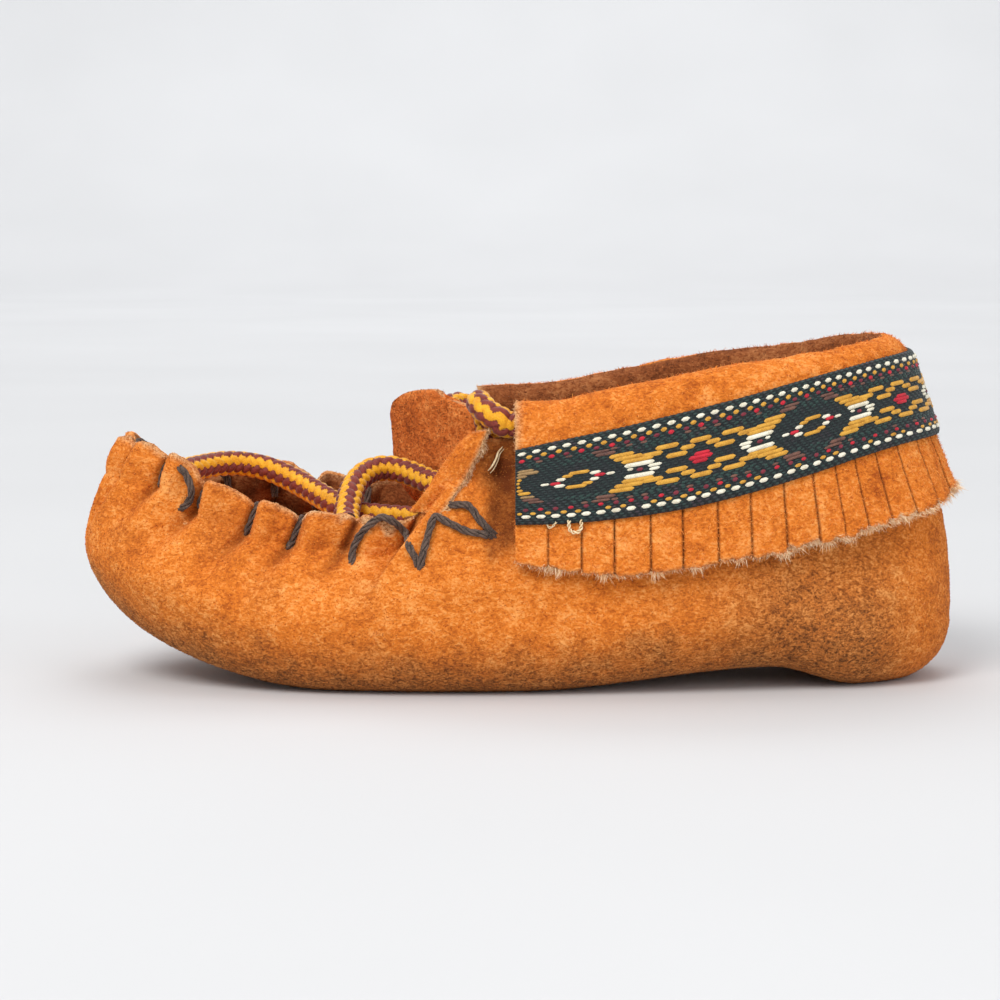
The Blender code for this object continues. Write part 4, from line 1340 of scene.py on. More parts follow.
# ------------------------------------------------------------------- fibres
def surface_of(obj, pick=None):
    """Triangles of a piece in millimetres, with the mask at each corner."""
    mesh = obj.data
    mesh.calc_loop_triangles()
    co = np.zeros(len(mesh.vertices) * 3, np.float32)
    mesh.vertices.foreach_get("co", co)
    co = co.reshape(-1, 3).astype(float) * 1000 + [FRINGE_BEHIND / 2, 0, 0]
    tri = np.zeros(len(mesh.loop_triangles) * 3, np.int32)
    mesh.loop_triangles.foreach_get("vertices", tri)
    tri = tri.reshape(-1, 3)
    poly = np.zeros(len(mesh.loop_triangles), np.int32)
    mesh.loop_triangles.foreach_get("polygon_index", poly)
    index = np.zeros(len(mesh.polygons), np.int32)
    mesh.polygons.foreach_get("material_index", index)
    mask = np.ones((len(co), 4), np.float32)
    mesh.attributes["mask"].data.foreach_get("color", mask.ravel()) if False else None
    flat = np.zeros(len(co) * 4, np.float32)
    mesh.attributes["mask"].data.foreach_get("color", flat)
    mask = flat.reshape(-1, 4)[:, :3]
    return co, tri, index[poly], mask


def scatter(obj, density, seed, keep=None):
    """Random places on a piece: density is fibres for each square millimetre, times keep(points, normals, index)."""
    co, tri, index, mask = surface_of(obj)
    a, b, c = co[tri[:, 0]], co[tri[:, 1]], co[tri[:, 2]]
    cross = np.cross(b - a, c - a)
    area = np.linalg.norm(cross, axis=1) / 2
    normal = cross / np.maximum(2 * area[:, None], 1e-12)
    weight = area * density
    if keep is not None:
        weight = weight * keep((a + b + c) / 3, normal, index, mask[tri[:, 0]])
    local = np.random.default_rng(seed)
    count = int(weight.sum())
    if count < 1:
        return None
    pick = np.searchsorted(np.cumsum(weight), np.sort(local.random(count)) * weight.sum())
    pick = np.clip(pick, 0, len(tri) - 1)
    r1, r2 = np.sqrt(local.random(count)), local.random(count)
    w = np.stack([1 - r1, r1 * (1 - r2), r1 * r2], 1)
    at = a[pick] * w[:, :1] + b[pick] * w[:, 1:2] + c[pick] * w[:, 2:]
    m = mask[tri[pick, 0]] * w[:, :1] + mask[tri[pick, 1]] * w[:, 1:2] + mask[tri[pick, 2]] * w[:, 2:]
    return at, normal[pick], m, local


def fibres(name, sets, material):
    """Short tapered spikes on a piece's skin. Each set is (places, normals, mask, random, length, lean, thick)."""
    all_points, all_faces, all_mask = [], [], []
    base = 0
    for at, normal, mask, local, length, lean, thick in sets:
        n = len(at)
        flow = np.stack([noise(at, 2.2, 101), noise(at, 2.2, 102), noise(at, 2.2, 103) - 0.25], -1)
        flow = flow + 0.7 * local.normal(size=(n, 3))
        flow = flow - normal * np.sum(flow * normal, -1, keepdims=True)
        flow = unit(flow)
        tilt = np.clip(lean + 0.22 * local.normal(size=n), 0.1, 1.45)
        d = normal * np.cos(tilt)[:, None] + flow * np.sin(tilt)[:, None]
        long = length * np.clip(0.55 + 0.6 * local.random(n) + 0.12 * local.normal(size=n), 0.25, 1.7)
        tip = at + d * long[:, None]
        tip[:, 2] = np.maximum(tip[:, 2], 0.03)
        side = unit(np.cross(d, normal + 0.01))
        other = np.cross(d, side)
        w = thick * (0.7 + 0.6 * local.random(n))[:, None]
        root = at - normal * 0.06
        p = np.stack([root + side * w, root - side * w * 0.5 + other * w * 0.87, root - side * w * 0.5 - other * w * 0.87, tip], 1)
        p[..., 2] = np.maximum(p[..., 2], 0.02)
        ids = base + 4 * np.arange(n)[:, None]
        f = np.stack([ids + [0, 1, 3], ids + [1, 2, 3], ids + [2, 0, 3]], 1).reshape(-1, 3)
        tone = np.clip(0.5 + 0.2 * local.normal(size=n), 0, 1)
        m = np.stack([mask[:, 0], mask[:, 1], np.clip(tone + 0.3 * mask[:, 1], 0, 1)], -1)
        m = np.repeat(m[:, None], 4, 1)
        m[:, 3, 2] = np.clip(m[:, 3, 2] + 0.15, 0, 1)
        m[:, :3, 2] = np.clip(m[:, :3, 2] - 0.1, 0, 1)
        all_points.append(p.reshape(-1, 3))
        all_faces.append(f)
        all_mask.append(m.reshape(-1, 3))
        base += 4 * n
    obj = add_mesh(name, np.concatenate(all_points), np.concatenate(all_faces), material, mask=np.concatenate(all_mask), flat=True, lean=False)
    return obj


# -------------------------------------------------------------------- braid
class Band:
    """The braid's face: s in millimetres from the near front, w in millimetres up from its middle row."""

    HALF_W = 7.2

    def __init__(self):
        grid = np.linspace(0, 1, 400)
        c = Columns(cuff_run(grid))
        outer, _ = cuff_section(c)
        self.outer = outer.transpose(0, 2, 1)[:9]
        self.c = c
        mid_z = (cuff_at(c.from_toe, "braid_low") + cuff_at(c.from_toe, "braid_high")) / 2
        mid_r = np.array([np.interp(mid_z[j], self.outer[:, j, 1], self.outer[:, j, 0]) for j in range(len(grid))])
        line = c.point(mid_r, mid_z)
        self.run = np.concatenate([[0], np.cumsum(np.linalg.norm(np.diff(line, axis=0), axis=1))])
        self.grid = grid
        self.length = float(self.run[-1])
        # sample the face on a fine table once, then read it off smoothly
        w = np.linspace(-1, 1, 41)
        low, high = cuff_at(c.from_toe, "braid_low"), cuff_at(c.from_toe, "braid_high")
        z = low[None, :] + (high - low)[None, :] * (w[:, None] + 1) / 2
        r = np.array([np.interp(z[:, j], self.outer[:, j, 1], self.outer[:, j, 0]) for j in range(len(grid))]).T
        for _ in range(5):
            r[1:-1] += 0.5 * ((r[:-2] + r[2:]) / 2 - r[1:-1])
        self.table = c.point(r, z)
        self.w = w
        n = unit(np.cross(np.gradient(self.table, axis=1), np.gradient(self.table, axis=0)))
        outward = np.stack([c.dx, c.dy, 0 * c.dx], -1)
        if np.mean(np.sum(n * outward[None], -1)) < 0:
            n = -n
        self.normals = n

    def at(self, s, w, lift=0.0):
        s, w, lift = np.broadcast_arrays(np.asarray(s, float), np.asarray(w, float), np.asarray(lift, float))
        g = np.interp(s, self.run, self.grid) * (len(self.grid) - 1)
        v = (np.clip(w / self.HALF_W, -1, 1) + 1) / 2 * (len(self.w) - 1)
        i, j = np.clip(g.astype(int), 0, len(self.grid) - 2), np.clip(v.astype(int), 0, len(self.w) - 2)
        fi, fj = (g - i)[..., None], (v - j)[..., None]
        def read(t):
            return (
                t[j, i] * (1 - fi) * (1 - fj) + t[j, i + 1] * fi * (1 - fj) + t[j + 1, i] * (1 - fi) * fj + t[j + 1, i + 1] * fi * fj
            )
        n = unit(read(self.normals))
        return read(self.table) + n * lift[..., None]


def stroke_into(parts, band, s0, s1, w, half, height, material, base=0.72, slope=0.0, seed=0.0):
    """One float of the weave: a rounded stroke that lies on the band."""
    length = max(s1 - s0, 0.3)
    n = max(5, int(length / 0.42) + 3)
    t = np.linspace(0, 1, n)
    k = 5
    a = np.linspace(0, math.pi, k)
    end = np.minimum(1, np.sqrt(np.clip(1 - (1 - np.minimum(t, 1 - t) * length / min(half * 1.3, length / 2)).clip(0) ** 2, 0, 1)))
    end = np.maximum(end, 0.18)
    s = s0 + length * t
    ww = w + slope * (t - 0.5) * length
    cs, sn = np.cos(a), np.sin(a)
    ps = s[:, None] + 0 * cs[None]
    pw = ww[:, None] + half * end[:, None] * cs[None]
    lift = base + height * (0.25 + 0.75 * end[:, None]) * sn[None] ** 0.8
    lift = lift - 0.1 * (1 - end[:, None])
    p = band.at(ps, pw, lift)
    quads = grid_faces(n, k)
    # its underside is open onto the band, so it gets a flat base that closes it
    under = band.at(s[:, None] + np.zeros((1, 2)), ww[:, None] + half * end[:, None] * np.array([[1.0, -1.0]]), base - 0.12)
    points = np.vstack([p.reshape(-1, 3), under.reshape(-1, 3)])
    o = n * k
    i = np.arange(n - 1)
    left, right = o + 2 * i, o + 2 * i + 1
    base_quads = np.stack([left, right, right + 2, left + 2], 1)
    side_a = np.stack([i * k, left, left + 2, (i + 1) * k], 1)
    side_b = np.stack([i * k + k - 1, (i + 1) * k + k - 1, right + 2, right], 1)
    caps = [[0, 1, 2, o], [2, 3, 4, o + 1], [0 + 2, o + 1, o, 2]]
    e = (n - 1) * k
    tris = [
        [0, 1, o], [1, 2, o], [2, o + 1, o], [2, 3, o + 1], [3, 4, o + 1],
        [e, o + 2 * (n - 1), e + 1], [e + 1, o + 2 * (n - 1), e + 2], [e + 2, o + 2 * (n - 1), o + 2 * (n - 1) + 1], [e + 2, o + 2 * (n - 1) + 1, e + 3], [e + 3, o + 2 * (n - 1) + 1, e + 4],
    ]
    parts.add(points, np.vstack([quads, base_quads, side_a, side_b]), np.array(tris), material)


# The woven chart, in millimetres: (middle row, from, to, half height, colour).
# White, gold, red, maroon and mauve are the colours of the floats.
WHITE, GOLD, RED, MAROON, MAUVE, GREEN, BEIGE = 0, 1, 2, 3, 4, 5, 6
DIAMOND = (
    (0.52, -1.0, 1.3, 0.30, RED),
    (0.0, -1.75, 1.75, 0.34, RED),
    (-0.52, -1.3, 1.0, 0.30, RED),
    (2.62, -1.6, 1.6, 0.37, GOLD),
    (1.88, -2.9, -0.75, 0.36, GOLD),
    (1.88, 0.75, 2.9, 0.36, GOLD),
    (1.12, -5.0, -1.85, 0.37, GOLD),
    (1.12, 1.85, 5.0, 0.37, GOLD),
    (-2.62, -1.6, 1.6, 0.37, GOLD),
    (-1.88, -2.9, -0.75, 0.36, GOLD),
    (-1.88, 0.75, 2.9, 0.36, GOLD),
    (-1.12, -5.0, -1.85, 0.37, GOLD),
    (-1.12, 1.85, 5.0, 0.37, GOLD),
)
BLOCK = (  # one side of the diamond, mirrored for the other
    (2.62, 3.0, 6.4, 0.37, GOLD),
    (1.95, 5.3, 8.4, 0.36, GOLD),
    (1.55, 6.6, 11.2, 0.33, GOLD),
    (2.15, 8.0, 12.2, 0.33, GOLD),
    (2.75, 9.3, 12.9, 0.34, GOLD),
    (-2.62, 3.0, 6.4, 0.37, GOLD),
    (-1.95, 5.3, 8.4, 0.36, GOLD),
    (-1.55, 6.6, 11.2, 0.33, GOLD),
    (-2.15, 8.0, 12.2, 0.33, GOLD),
    (-2.75, 9.3, 12.9, 0.34, GOLD),
    (0.88, 6.5, 10.8, 0.34, WHITE),
    (-0.88, 6.5, 10.8, 0.34, WHITE),
    (0.27, 5.5, 7.5, 0.25, WHITE),
    (-0.27, 5.7, 7.3, 0.25, WHITE),
    (0.0, 8.1, 9.1, 0.27, MAROON),
    (0.25, 9.4, 10.3, 0.22, WHITE),
    (3.45, 11.9, 14.8, 0.28, MAUVE),
    (3.95, 12.7, 15.4, 0.22, MAUVE),
    (-3.45, 11.9, 14.8, 0.28, MAUVE),
    (-3.95, 12.7, 15.4, 0.22, MAUVE),
)
OVAL = (
    (1.12, -1.3, 1.7, 0.29, GOLD),
    (0.78, -2.2, -0.6, 0.27, GOLD),
    (-0.78, 0.6, 2.2, 0.27, GOLD),
    (-1.12, -1.7, 1.3, 0.29, GOLD),
    (0.72, 1.7, 3.3, 0.27, WHITE),
    (-0.72, -3.3, -1.7, 0.27, WHITE),
    (0.30, -3.0, -1.6, 0.27, WHITE),
    (-0.30, 1.6, 3.0, 0.27, WHITE),
    (0.26, 2.3, 3.9, 0.26, RED),
    (-0.26, -3.9, -2.3, 0.26, RED),
    (0.22, 3.9, 5.2, 0.22, WHITE),
    (-0.22, -5.2, -3.9, 0.22, WHITE),
)
# What shows of the repeat where the braid's front end is cut and turned under.
FRONT = (
    (2.75, 0.2, 2.6, 0.26, BEIGE),
    (2.25, 0.15, 3.3, 0.30, BEIGE),
    (1.75, 0.15, 1.7, 0.26, BEIGE),
    (1.15, 0.15, 0.9, 0.28, GOLD),
    (0.5, 0.15, 0.7, 0.26, GOLD),
    (-0.2, 0.15, 0.7, 0.26, GOLD),
    (-0.85, 0.15, 1.1, 0.28, GOLD),
    (-1.45, 0.3, 2.2, 0.30, GOLD),
    (-2.2, 0.6, 2.7, 0.24, BEIGE),
    (-2.75, 0.9, 3.4, 0.26, MAUVE),
    (-3.2, 1.6, 4.0, 0.22, MAUVE),
)
FIRST_OVAL, REPEAT = 8.6, 34.4


def woven_ground():
    """Dark twill ground of the braid, in the band's own s and w."""
    n = Nodes("braid_ground").set(Roughness=0.75, Sheen_Weight=0.12)
    n.shader.inputs["Specular IOR Level"].default_value = 0.25
    uv = n.tree.nodes.new("ShaderNodeUVMap")
    uv.uv_map = "band"
    sep = n.tree.nodes.new("ShaderNodeSeparateXYZ")
    n.link(uv.outputs[0], sep.inputs[0])
    s, w = sep.outputs[0], sep.outputs[1]  # in millimetres
    tau = 2 * math.pi
    # short floats in rows 0.42 mm apart, each row shifted on by a third
    row = n.math("FLOOR", n.math("DIVIDE", w, 0.42))
    within = n.math("ABSOLUTE", n.math("SINE", n.math("MULTIPLY", w, math.pi / 0.42)))
    along = n.math("SINE", n.math("MULTIPLY", n.math("ADD", s, n.math("MULTIPLY", row, 0.36)), tau / 1.08))
    bead = n.math("MULTIPLY", n.spread(along, -0.5, 0.9, 0.15, 1.0), within)
    tint = n.noise(2.4, 2.0, 0.6)
    fibre = n.noise(0.18, 2.0, 0.6)
    green = n.ramp(bead, (0.15, srgb(10, 14, 18)), (0.85, srgb(44, 66, 62)))
    mauve = n.ramp(bead, (0.15, srgb(14, 12, 16)), (0.85, srgb(66, 52, 62)))
    colour = n.mix(n.spread(tint, 0.52, 0.66), green, mauve)
    # the middle, under the motifs, is the darkest
    middle = n.spread(n.math("ABSOLUTE", w), 1.8, 3.6, 0.55, 0.0)
    colour = n.mix(middle, colour, srgb(20, 22, 26))
    colour = n.mix(n.spread(fibre, 0.35, 0.75, 0.0, 0.35), colour, srgb(70, 84, 84))
    n.bump(n.math("ADD", bead, n.math("MULTIPLY", fibre, 0.4)), 0.16, 0.9)
    return n.colour(colour)


def make_braid():
    band = Band()
    cols = 420
    s = np.linspace(0, band.length, cols)
    w_rows = np.linspace(-band.HALF_W, band.HALF_W, 45)
    S, W = np.meshgrid(s, w_rows)
    edge = smooth(0, 0.5, band.HALF_W - np.abs(W))
    lift = GAP + 0.12 + 0.28 * edge + 0.02 * np.sin(W * 2 * math.pi / 0.42)
    face = band.at(S, W, lift)
    scallop = 0.06 * np.sin(S * 2 * math.pi / 0.9)
    face[0, :, 2] += scallop[0]
    face[-1, :, 2] += scallop[-1]
    back = band.at(S, W, GAP * 0.3)
    rows = len(w_rows)
    points = np.concatenate([face, back[::-1]])
    total = 2 * rows
    quads = [grid_faces(total, cols)]
    first, last = np.arange(cols), (total - 1) * cols + np.arange(cols)
    quads.append(np.stack([last[:-1], last[1:], first[1:], first[:-1]], 1))
    for j, flip in ((0, False), (cols - 1, True)):
        k = np.arange(rows - 1)
        f = np.stack([k * cols + j, (k + 1) * cols + j, (total - 2 - k) * cols + j, (total - 1 - k) * cols + j], 1)
        quads.append(f[:, ::-1] if flip else f)
    obj = add_mesh("braid_ground", points.reshape(-1, 3), np.vstack(quads), [woven_ground()])
    uv = obj.data.uv_layers.new(name="band")
    loops = np.zeros(len(obj.data.loops), np.int32)
    obj.data.loops.foreach_get("vertex_index", loops)
    table = np.concatenate([np.stack([S, W], -1), np.stack([S, W], -1)[::-1]]).reshape(-1, 2)
    uv.data.foreach_set("uv", table[loops].astype(np.float32).ravel())
    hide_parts("braid_trim")

    parts = Parts()
    base = GAP + 0.38
    end = band.length
    local = np.random.default_rng(5)

    def put(w, s0, s1, half, colour, height=0.24):
        s0, s1 = max(s0, 0.15), min(s1, end - 0.15)
        if s1 - s0 > 0.4:
            j = 0.10 * (local.random() - 0.5)
            stroke_into(parts, band, s0 + j, s1 + j, w + 0.05 * (local.random() - 0.5), half, height, colour, base)

    at = FIRST_OVAL
    middle = FIRST_OVAL - REPEAT
    while middle < end + REPEAT:
        for w, s0, s1, half, colour in OVAL:
            put(w, middle + s0, middle + s1, half, colour)
        centre = middle + REPEAT / 2
        for w, s0, s1, half, colour in DIAMOND:
            put(w, centre + s0, centre + s1, half, colour)
        for w, s0, s1, half, colour in BLOCK:
            if centre + s0 > 5.0:
                put(w, centre + s0, centre + s1, half, colour)
            put(w, centre - s1, centre - s0, half, colour)
        middle += REPEAT
    for w, s0, s1, half, colour in FRONT:
        put(w, s0, s1, half, colour)
    pitch = 2.08
    k = 0
    s0 = 0.9
    while s0 < end - 0.6:
        put(6.08, s0 - 0.62, s0 + 0.62, 0.33, WHITE, 0.30)
        put(-5.86, s0 - 0.14, s0 + 1.20, 0.34, WHITE, 0.30)
        put(5.30, s0 + 0.55, s0 + 1.50, 0.34, GOLD)
        if local.random() < 0.6:
            put(-5.26, s0 - 1.0, s0 - 0.1 + 0.3 * local.random(), 0.26, GOLD, 0.18)
        bright = k % 2 == 0
        put(4.66, s0 - 0.45, s0 + 0.45, 0.34 if bright else 0.28, RED if bright else MAROON)
        put(-4.58, s0 + 0.1, s0 + 0.95, 0.33 if bright else 0.27, RED if not bright else MAROON)
        if local.random() < 0.5:
            put(4.10, s0 - 0.3, s0 + 0.9, 0.2, MAUVE, 0.14)
        if local.random() < 0.5:
            put(-4.02, s0 - 0.2, s0 + 0.9, 0.2, MAUVE, 0.14)
        s0 += pitch
        k += 1
    # darker green floats of the twill, where no motif covers them
    for row in (3.3, 3.75, -3.25, -3.7, 2.9, -2.9):
        s0 = 0.6 + (abs(row) * 7) % 1.1
        while s0 < end - 1:
            phase = (s0 - FIRST_OVAL + REPEAT * 4) % REPEAT
            near = min(phase, REPEAT - phase)
            clear = near > 6.2 if abs(row) < 3.1 else True
            if abs(row) < 3.1:
                clear = near < 3.4
            if abs(row) > 3.1:
                clear = not (1.6 < near < 5.6)
            if clear and local.random() < 0.8:
                put(row, s0, s0 + 0.72, 0.19, GREEN, 0.12)
            s0 += 1.08
    mats = [
        yarn("braid_white", srgb(240, 236, 218), srgb(196, 186, 158), 0.14),
        yarn("braid_gold", srgb(218, 164, 62), srgb(172, 116, 32), 0.14),
        yarn("braid_red", srgb(206, 34, 54), srgb(146, 16, 34), 0.14),
        yarn("braid_maroon", srgb(132, 44, 58), srgb(84, 26, 38), 0.14),
        yarn("braid_mauve", srgb(122, 84, 70), srgb(70, 48, 46), 0.14),
        yarn("braid_green", srgb(44, 70, 64), srgb(22, 36, 36), 0.14),
        yarn("braid_beige", srgb(168, 136, 92), srgb(110, 82, 52), 0.14),
    ]
    floats = parts.build("braid_floats", mats)
    return obj, band


# --------------------------------------------------------------- drawstring
def casing_point(run):
    c = Columns(np.array([run]))
    r, z = casing_middle(c)
    return c.point(r, z)[0]


def lace_path(points, side):
    # it starts a little way inside the casing, so its end never shows
    if side < 0:
        mouth = [casing_point(back - run_at(CUFF_FRONT)) for back in (-3.2, -1.2, 0.8, 2.0)]
    else:
        mouth = [casing_point(run_at(FAR_FRONT) - back) for back in (-3.2, -1.2, 1.0)]
    return spaced(np.array(mouth + [(x - HALF, y, z) for x, y, z in points], float), 0.15, rounds=40)


def braided(name, path, colours=(0, 1), step=0.2, sides=60, frayed_end=False, turn0=0.0, spiral=0.0):
    """A round braid: eight columns of leaf-shaped stitches in two colours, with a zigzag between them."""
    run = np.concatenate([[0], np.cumsum(np.linalg.norm(np.diff(path, axis=0), axis=1))])
    if run[-1] / len(run) < step:
        even = np.linspace(0, run[-1], round(run[-1] / step) + 1)
        path = np.stack([np.interp(even, run, path[:, k]) for k in range(3)], axis=1)
        run = even
    _, a, b = frames_along(path)
    turn = np.linspace(0, 2 * math.pi, sides, endpoint=False)
    columns = 8
    pitch = 1.62
    radius = LACE_D / 2
    S, T = np.meshgrid(run, turn, indexing="ij")
    T2 = T + turn0 + spiral * S
    pos = (T2 / (2 * math.pi) * columns) % columns
    best = np.full(S.shape, -1e9)
    col = np.zeros(S.shape, int)
    yarn_at = np.zeros(S.shape)
    width = 2 * math.pi * radius / columns
    slant = math.radians(45)
    for shift in (-1, 0, 1):
        k = ((np.floor(pos) + shift) % columns).astype(int)
        # across in millimetres from the middle of that column
        across = ((pos - (np.floor(pos) + shift)) - 0.5) * width
        even = k % 2 == 0
        turned = np.where(even, slant, -slant)
        offset = np.where(even, 0.0, 0.5)
        for stitch in (-1, 0, 1):
            along = S / pitch + offset
            centre = (np.floor(along) + stitch + 0.5 - offset) * pitch
            ds = S - centre
            u = ds * np.cos(turned) + across * np.sin(turned)
            v = across * np.cos(turned) - ds * np.sin(turned)
            height = 1 - (np.abs(u) / 1.16) ** 2.4 - (np.abs(v) / 0.66) ** 2.0
            better = height > best
            best = np.where(better, height, best)
            col = np.where(better, k, col)
            yarn_at = np.where(better, v, yarn_at)
    dome = np.sqrt(np.clip(best, 0, 1))
    strand = 0.022 * np.cos(yarn_at * 2 * math.pi / 0.24)
    lift = -0.32 + 0.42 * dome + strand * (dome > 0.2)
    fade = np.ones(len(run))
    r = radius + lift * fade[:, None]
    if frayed_end:
        flare = smooth(run[-1] - 2.2, run[-1], run)
        r = r * (1 + 0.10 * flare)[:, None]
    ring = a[:, None] * np.cos(T)[..., None] + b[:, None] * np.sin(T)[..., None]
    points = path[:, None] + ring * r[..., None]
    n_rows = len(path)
    quads = grid_faces(n_rows, sides, wrap_cols=True, flip=True)
    # ends: a shallow dome of a few rings
    extra, faces = [], [quads]
    count = n_rows * sides
    for end, direction in ((0, -1), (n_rows - 1, 1)):
        t = unit(path[1] - path[0]) if end == 0 else unit(path[-1] - path[-2])
        prev = end * sides + np.arange(sides)
        for f, out in ((0.82, 0.28), (0.5, 0.45)):
            new = path[end] + ring[end] * (radius * f) + t * direction * out
            extra.append(new)
            ids = count + np.arange(sides)
            k = np.roll(np.arange(sides), -1)
            q4 = np.stack([prev, prev[k], ids[k], ids], 1)
            faces.append(q4[:, ::-1] if direction > 0 else q4)
            prev = ids
            count += sides
        extra.append((path[end] + t * direction * 0.5)[None])
        tip = count
        count += 1
        k = np.roll(np.arange(sides), -1)
        tri = np.stack([prev, prev[k], np.full(sides, tip)], 1)
        tri = tri[:, ::-1] if direction > 0 else tri
        faces.append(tri)
    # group faces by size
    quad_faces = np.vstack([f for f in faces if f.shape[1] == 4])
    tri_faces = np.vstack([f for f in faces if f.shape[1] == 3])
    colour_grid = (col % 2)
    first = quads[:, 0]
    rows_i, cols_j = np.meshgrid(np.arange(n_rows - 1), np.arange(sides), indexing="ij")
    index_main = colour_grid[rows_i, cols_j].ravel()
    deep = (best[rows_i, cols_j].ravel() < -0.35)
    index_main = np.where(deep, 2, index_main)
    index = np.concatenate([index_main, np.full(len(quad_faces) - len(index_main), 2), np.full(len(tri_faces), 2)])
    # the order of quads in quad_faces starts with the main grid
    all_points = np.vstack([points.reshape(-1, 3)] + [e.reshape(-1, 3) for e in extra])
    obj = add_mesh(name, all_points, [quad_faces, tri_faces], [M_YELLOW, M_MAROON, M_LACE_CORE], index)
    return obj, run[-1]


def make_lace():
    done = []
    for name, node, table, side, turn0 in (
        ("drawstring_near_braided", "drawstring_near_end", NEAR_END, -1, 0.35),
        ("drawstring_far_braided", "drawstring_far_end", FAR_END, 1, 0.9),
    ):
        path = lace_path(table, side)
        obj, length = braided(name, path, turn0=turn0, frayed_end=True)
        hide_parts(node)
        metres = placed(path[:: 6])
        if np.linalg.norm(placed(path[-1]) - metres[-1]) < 0.0006:
            metres = metres[:-1]
        metres = np.vstack([metres, placed(path[-1])])
        [float(x) for x in placed(path[0])]
        done.append(obj)
    s = np.linspace(0.019, 0.981, 320)
    c = Columns(cuff_run(s))
    r, z = casing_middle(c)
    path = c.point(r, z)
    obj, _ = braided("drawstring_hidden_braided", path, sides=24)
    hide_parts("drawstring_in_casing")
    return done


# ------------------------------------------------------------------ threads
def twisted(parts, path, d, pitch=1.6, plies=4, sides=5, material=0, taper=True):
    """A thread of a few plies wound round each other along a path."""
    path = np.asarray(path, float)
    _, a, b = frames_along(path)
    run = np.concatenate([[0], np.cumsum(np.linalg.norm(np.diff(path, axis=0), axis=1))])
    for ply in range(plies):
        angle = 2 * math.pi * (run / pitch + ply / plies)
        off = d * (0.29 + 0.03 * math.sin(ply * 2.3))
        line = path + a * (off * np.cos(angle))[:, None] + b * (off * np.sin(angle))[:, None]
        radius = d * (0.21 + 0.025 * np.sin(run * 2.1 + ply * 1.7))
        if taper:
            radius *= 0.75 + 0.25 * smooth(0, 0.5, np.minimum(run, run[-1] - run))
        tube_into(parts, line, radius, sides, material)


def wrap_spot(u, h, lift):
    """A place on the wrap's outer face, by the column and the depth below its top edge."""
    q = np.linspace(2.0, 4.0, 240)
    p, depth = wrap_outer(np.full(len(q), u), q)
    order = np.argsort(depth)
    point = np.array([np.interp(h, depth[order], p[order, k]) for k in range(3)])
    c = Columns(np.array([u]))
    outward = np.array([c.dx[0], c.dy[0], 0.0])
    return point + outward * lift, outward


def make_threads(tree, others=()):
    parts = Parts()
    local = np.random.default_rng(3)
    for k, at in enumerate(NOTCHES):
        for side in (-1, 1):
            if k >= len(NOTCHES) - 2 and side < 0:
                continue  # the near side's last stitches are the crossed lashing
            u = side * at
            notch = float(notch_at(np.array([u]))[0][0])
            depth = max(notch + 1.2, 5.2 + 0.6 * math.sin(k * 1.9 + side))
            route = []
            start, outward = wrap_spot(u, depth, -0.7)
            route.append(start)
            for h in np.linspace(depth - 0.3, notch + 0.25, 6):
                spot, outward = wrap_spot(u, h, 0.42)
                route.append(spot)
            top, outward = wrap_spot(u, notch, 0.0)
            route.append(top - outward * 0.30 + [0, 0, 0.50])
            route.append(top - outward * 1.1 + [0, 0, 0.55])
            route.append(top - outward * 1.95 + [0, 0, 0.0])
            route.append(top - outward * 2.4 + [0, 0, -1.8])
            route.append(top - outward * 3.0 + [0, 0, -3.4])
            twisted(parts, spaced(route, 0.25), 1.15, pitch=6.0)
    # crossed lashing on the near side: two strands over the two last tabs
    def spot(x, z, lift=0.45):
        return outermost([tree, *others], x, z, -1, lift)[0] if 49.8 < x < 57.0 else side_point(tree, x, z, -1, lift)[0]

    def top_spot(x, z, y):
        return np.array([x - HALF, y, z])

    strands = LASHING
    for strand in strands:
        route = []
        for kind, *v in strand:
            route.append(spot(*v) if kind == "on" else top_spot(*v))
        twisted(parts, spaced(route, 0.2, rounds=4), 1.1, pitch=6.0)
    obj = parts.build("lashing", [M_LASHING])
    return obj


# The lashing's strands: "on" is a place on the near side by station and height,
# "at" is station, height and place across.
LASHING = (
    (
        ("on", 39.1, 18.1, -0.7),
        ("on", 39.4, 19.3, 0.5),
        ("on", 40.1, 21.0, 0.55),
        ("on", 41.0, 22.7, 0.55),
        ("at", 42.0, 24.0, -19.55),
        ("at", 43.5, 24.8, -19.35),
        ("at", 45.1, 24.2, -19.55),
        ("on", 46.5, 22.6, 0.6),
        ("on", 47.5, 20.9, 0.55),
        ("on", 48.3, 19.4, 0.5),
        ("on", 48.8, 18.0, -0.7),
    ),
    (
        ("on", 48.9, 17.9, -0.7),
        ("on", 49.2, 19.6, 0.6),
        ("on", 49.7, 21.5, 0.6),
        ("on", 50.3, 23.6, 0.6),
        ("on", 50.9, 25.0, 0.6),
        ("on", 51.8, 24.7, 0.6),
        ("on", 53.2, 24.0, 0.6),
        ("on", 55.5, 23.1, 0.55),
        ("on", 57.7, 22.8, 0.5),
        ("on", 59.5, 22.5, -0.6),
    ),
    (
        ("on", 53.2, 26.8, -0.3),
        ("on", 54.2, 26.9, 0.55),
        ("on", 55.6, 26.4, 0.6),
        ("on", 57.0, 24.9, 0.55),
        ("on", 58.1, 23.5, 0.5),
        ("on", 59.5, 22.6, -0.6),
    ),
    (
        ("on", 14.6, 31.4, -0.5),
        ("on", 15.3, 30.7, 0.4),
        ("on", 16.1, 29.6, 0.5),
        ("on", 16.5, 28.2, 0.5),
        ("on", 16.2, 26.9, 0.5),
        ("on", 15.4, 25.8, 0.45),
        ("on", 14.6, 25.0, -0.6),
    ),
)


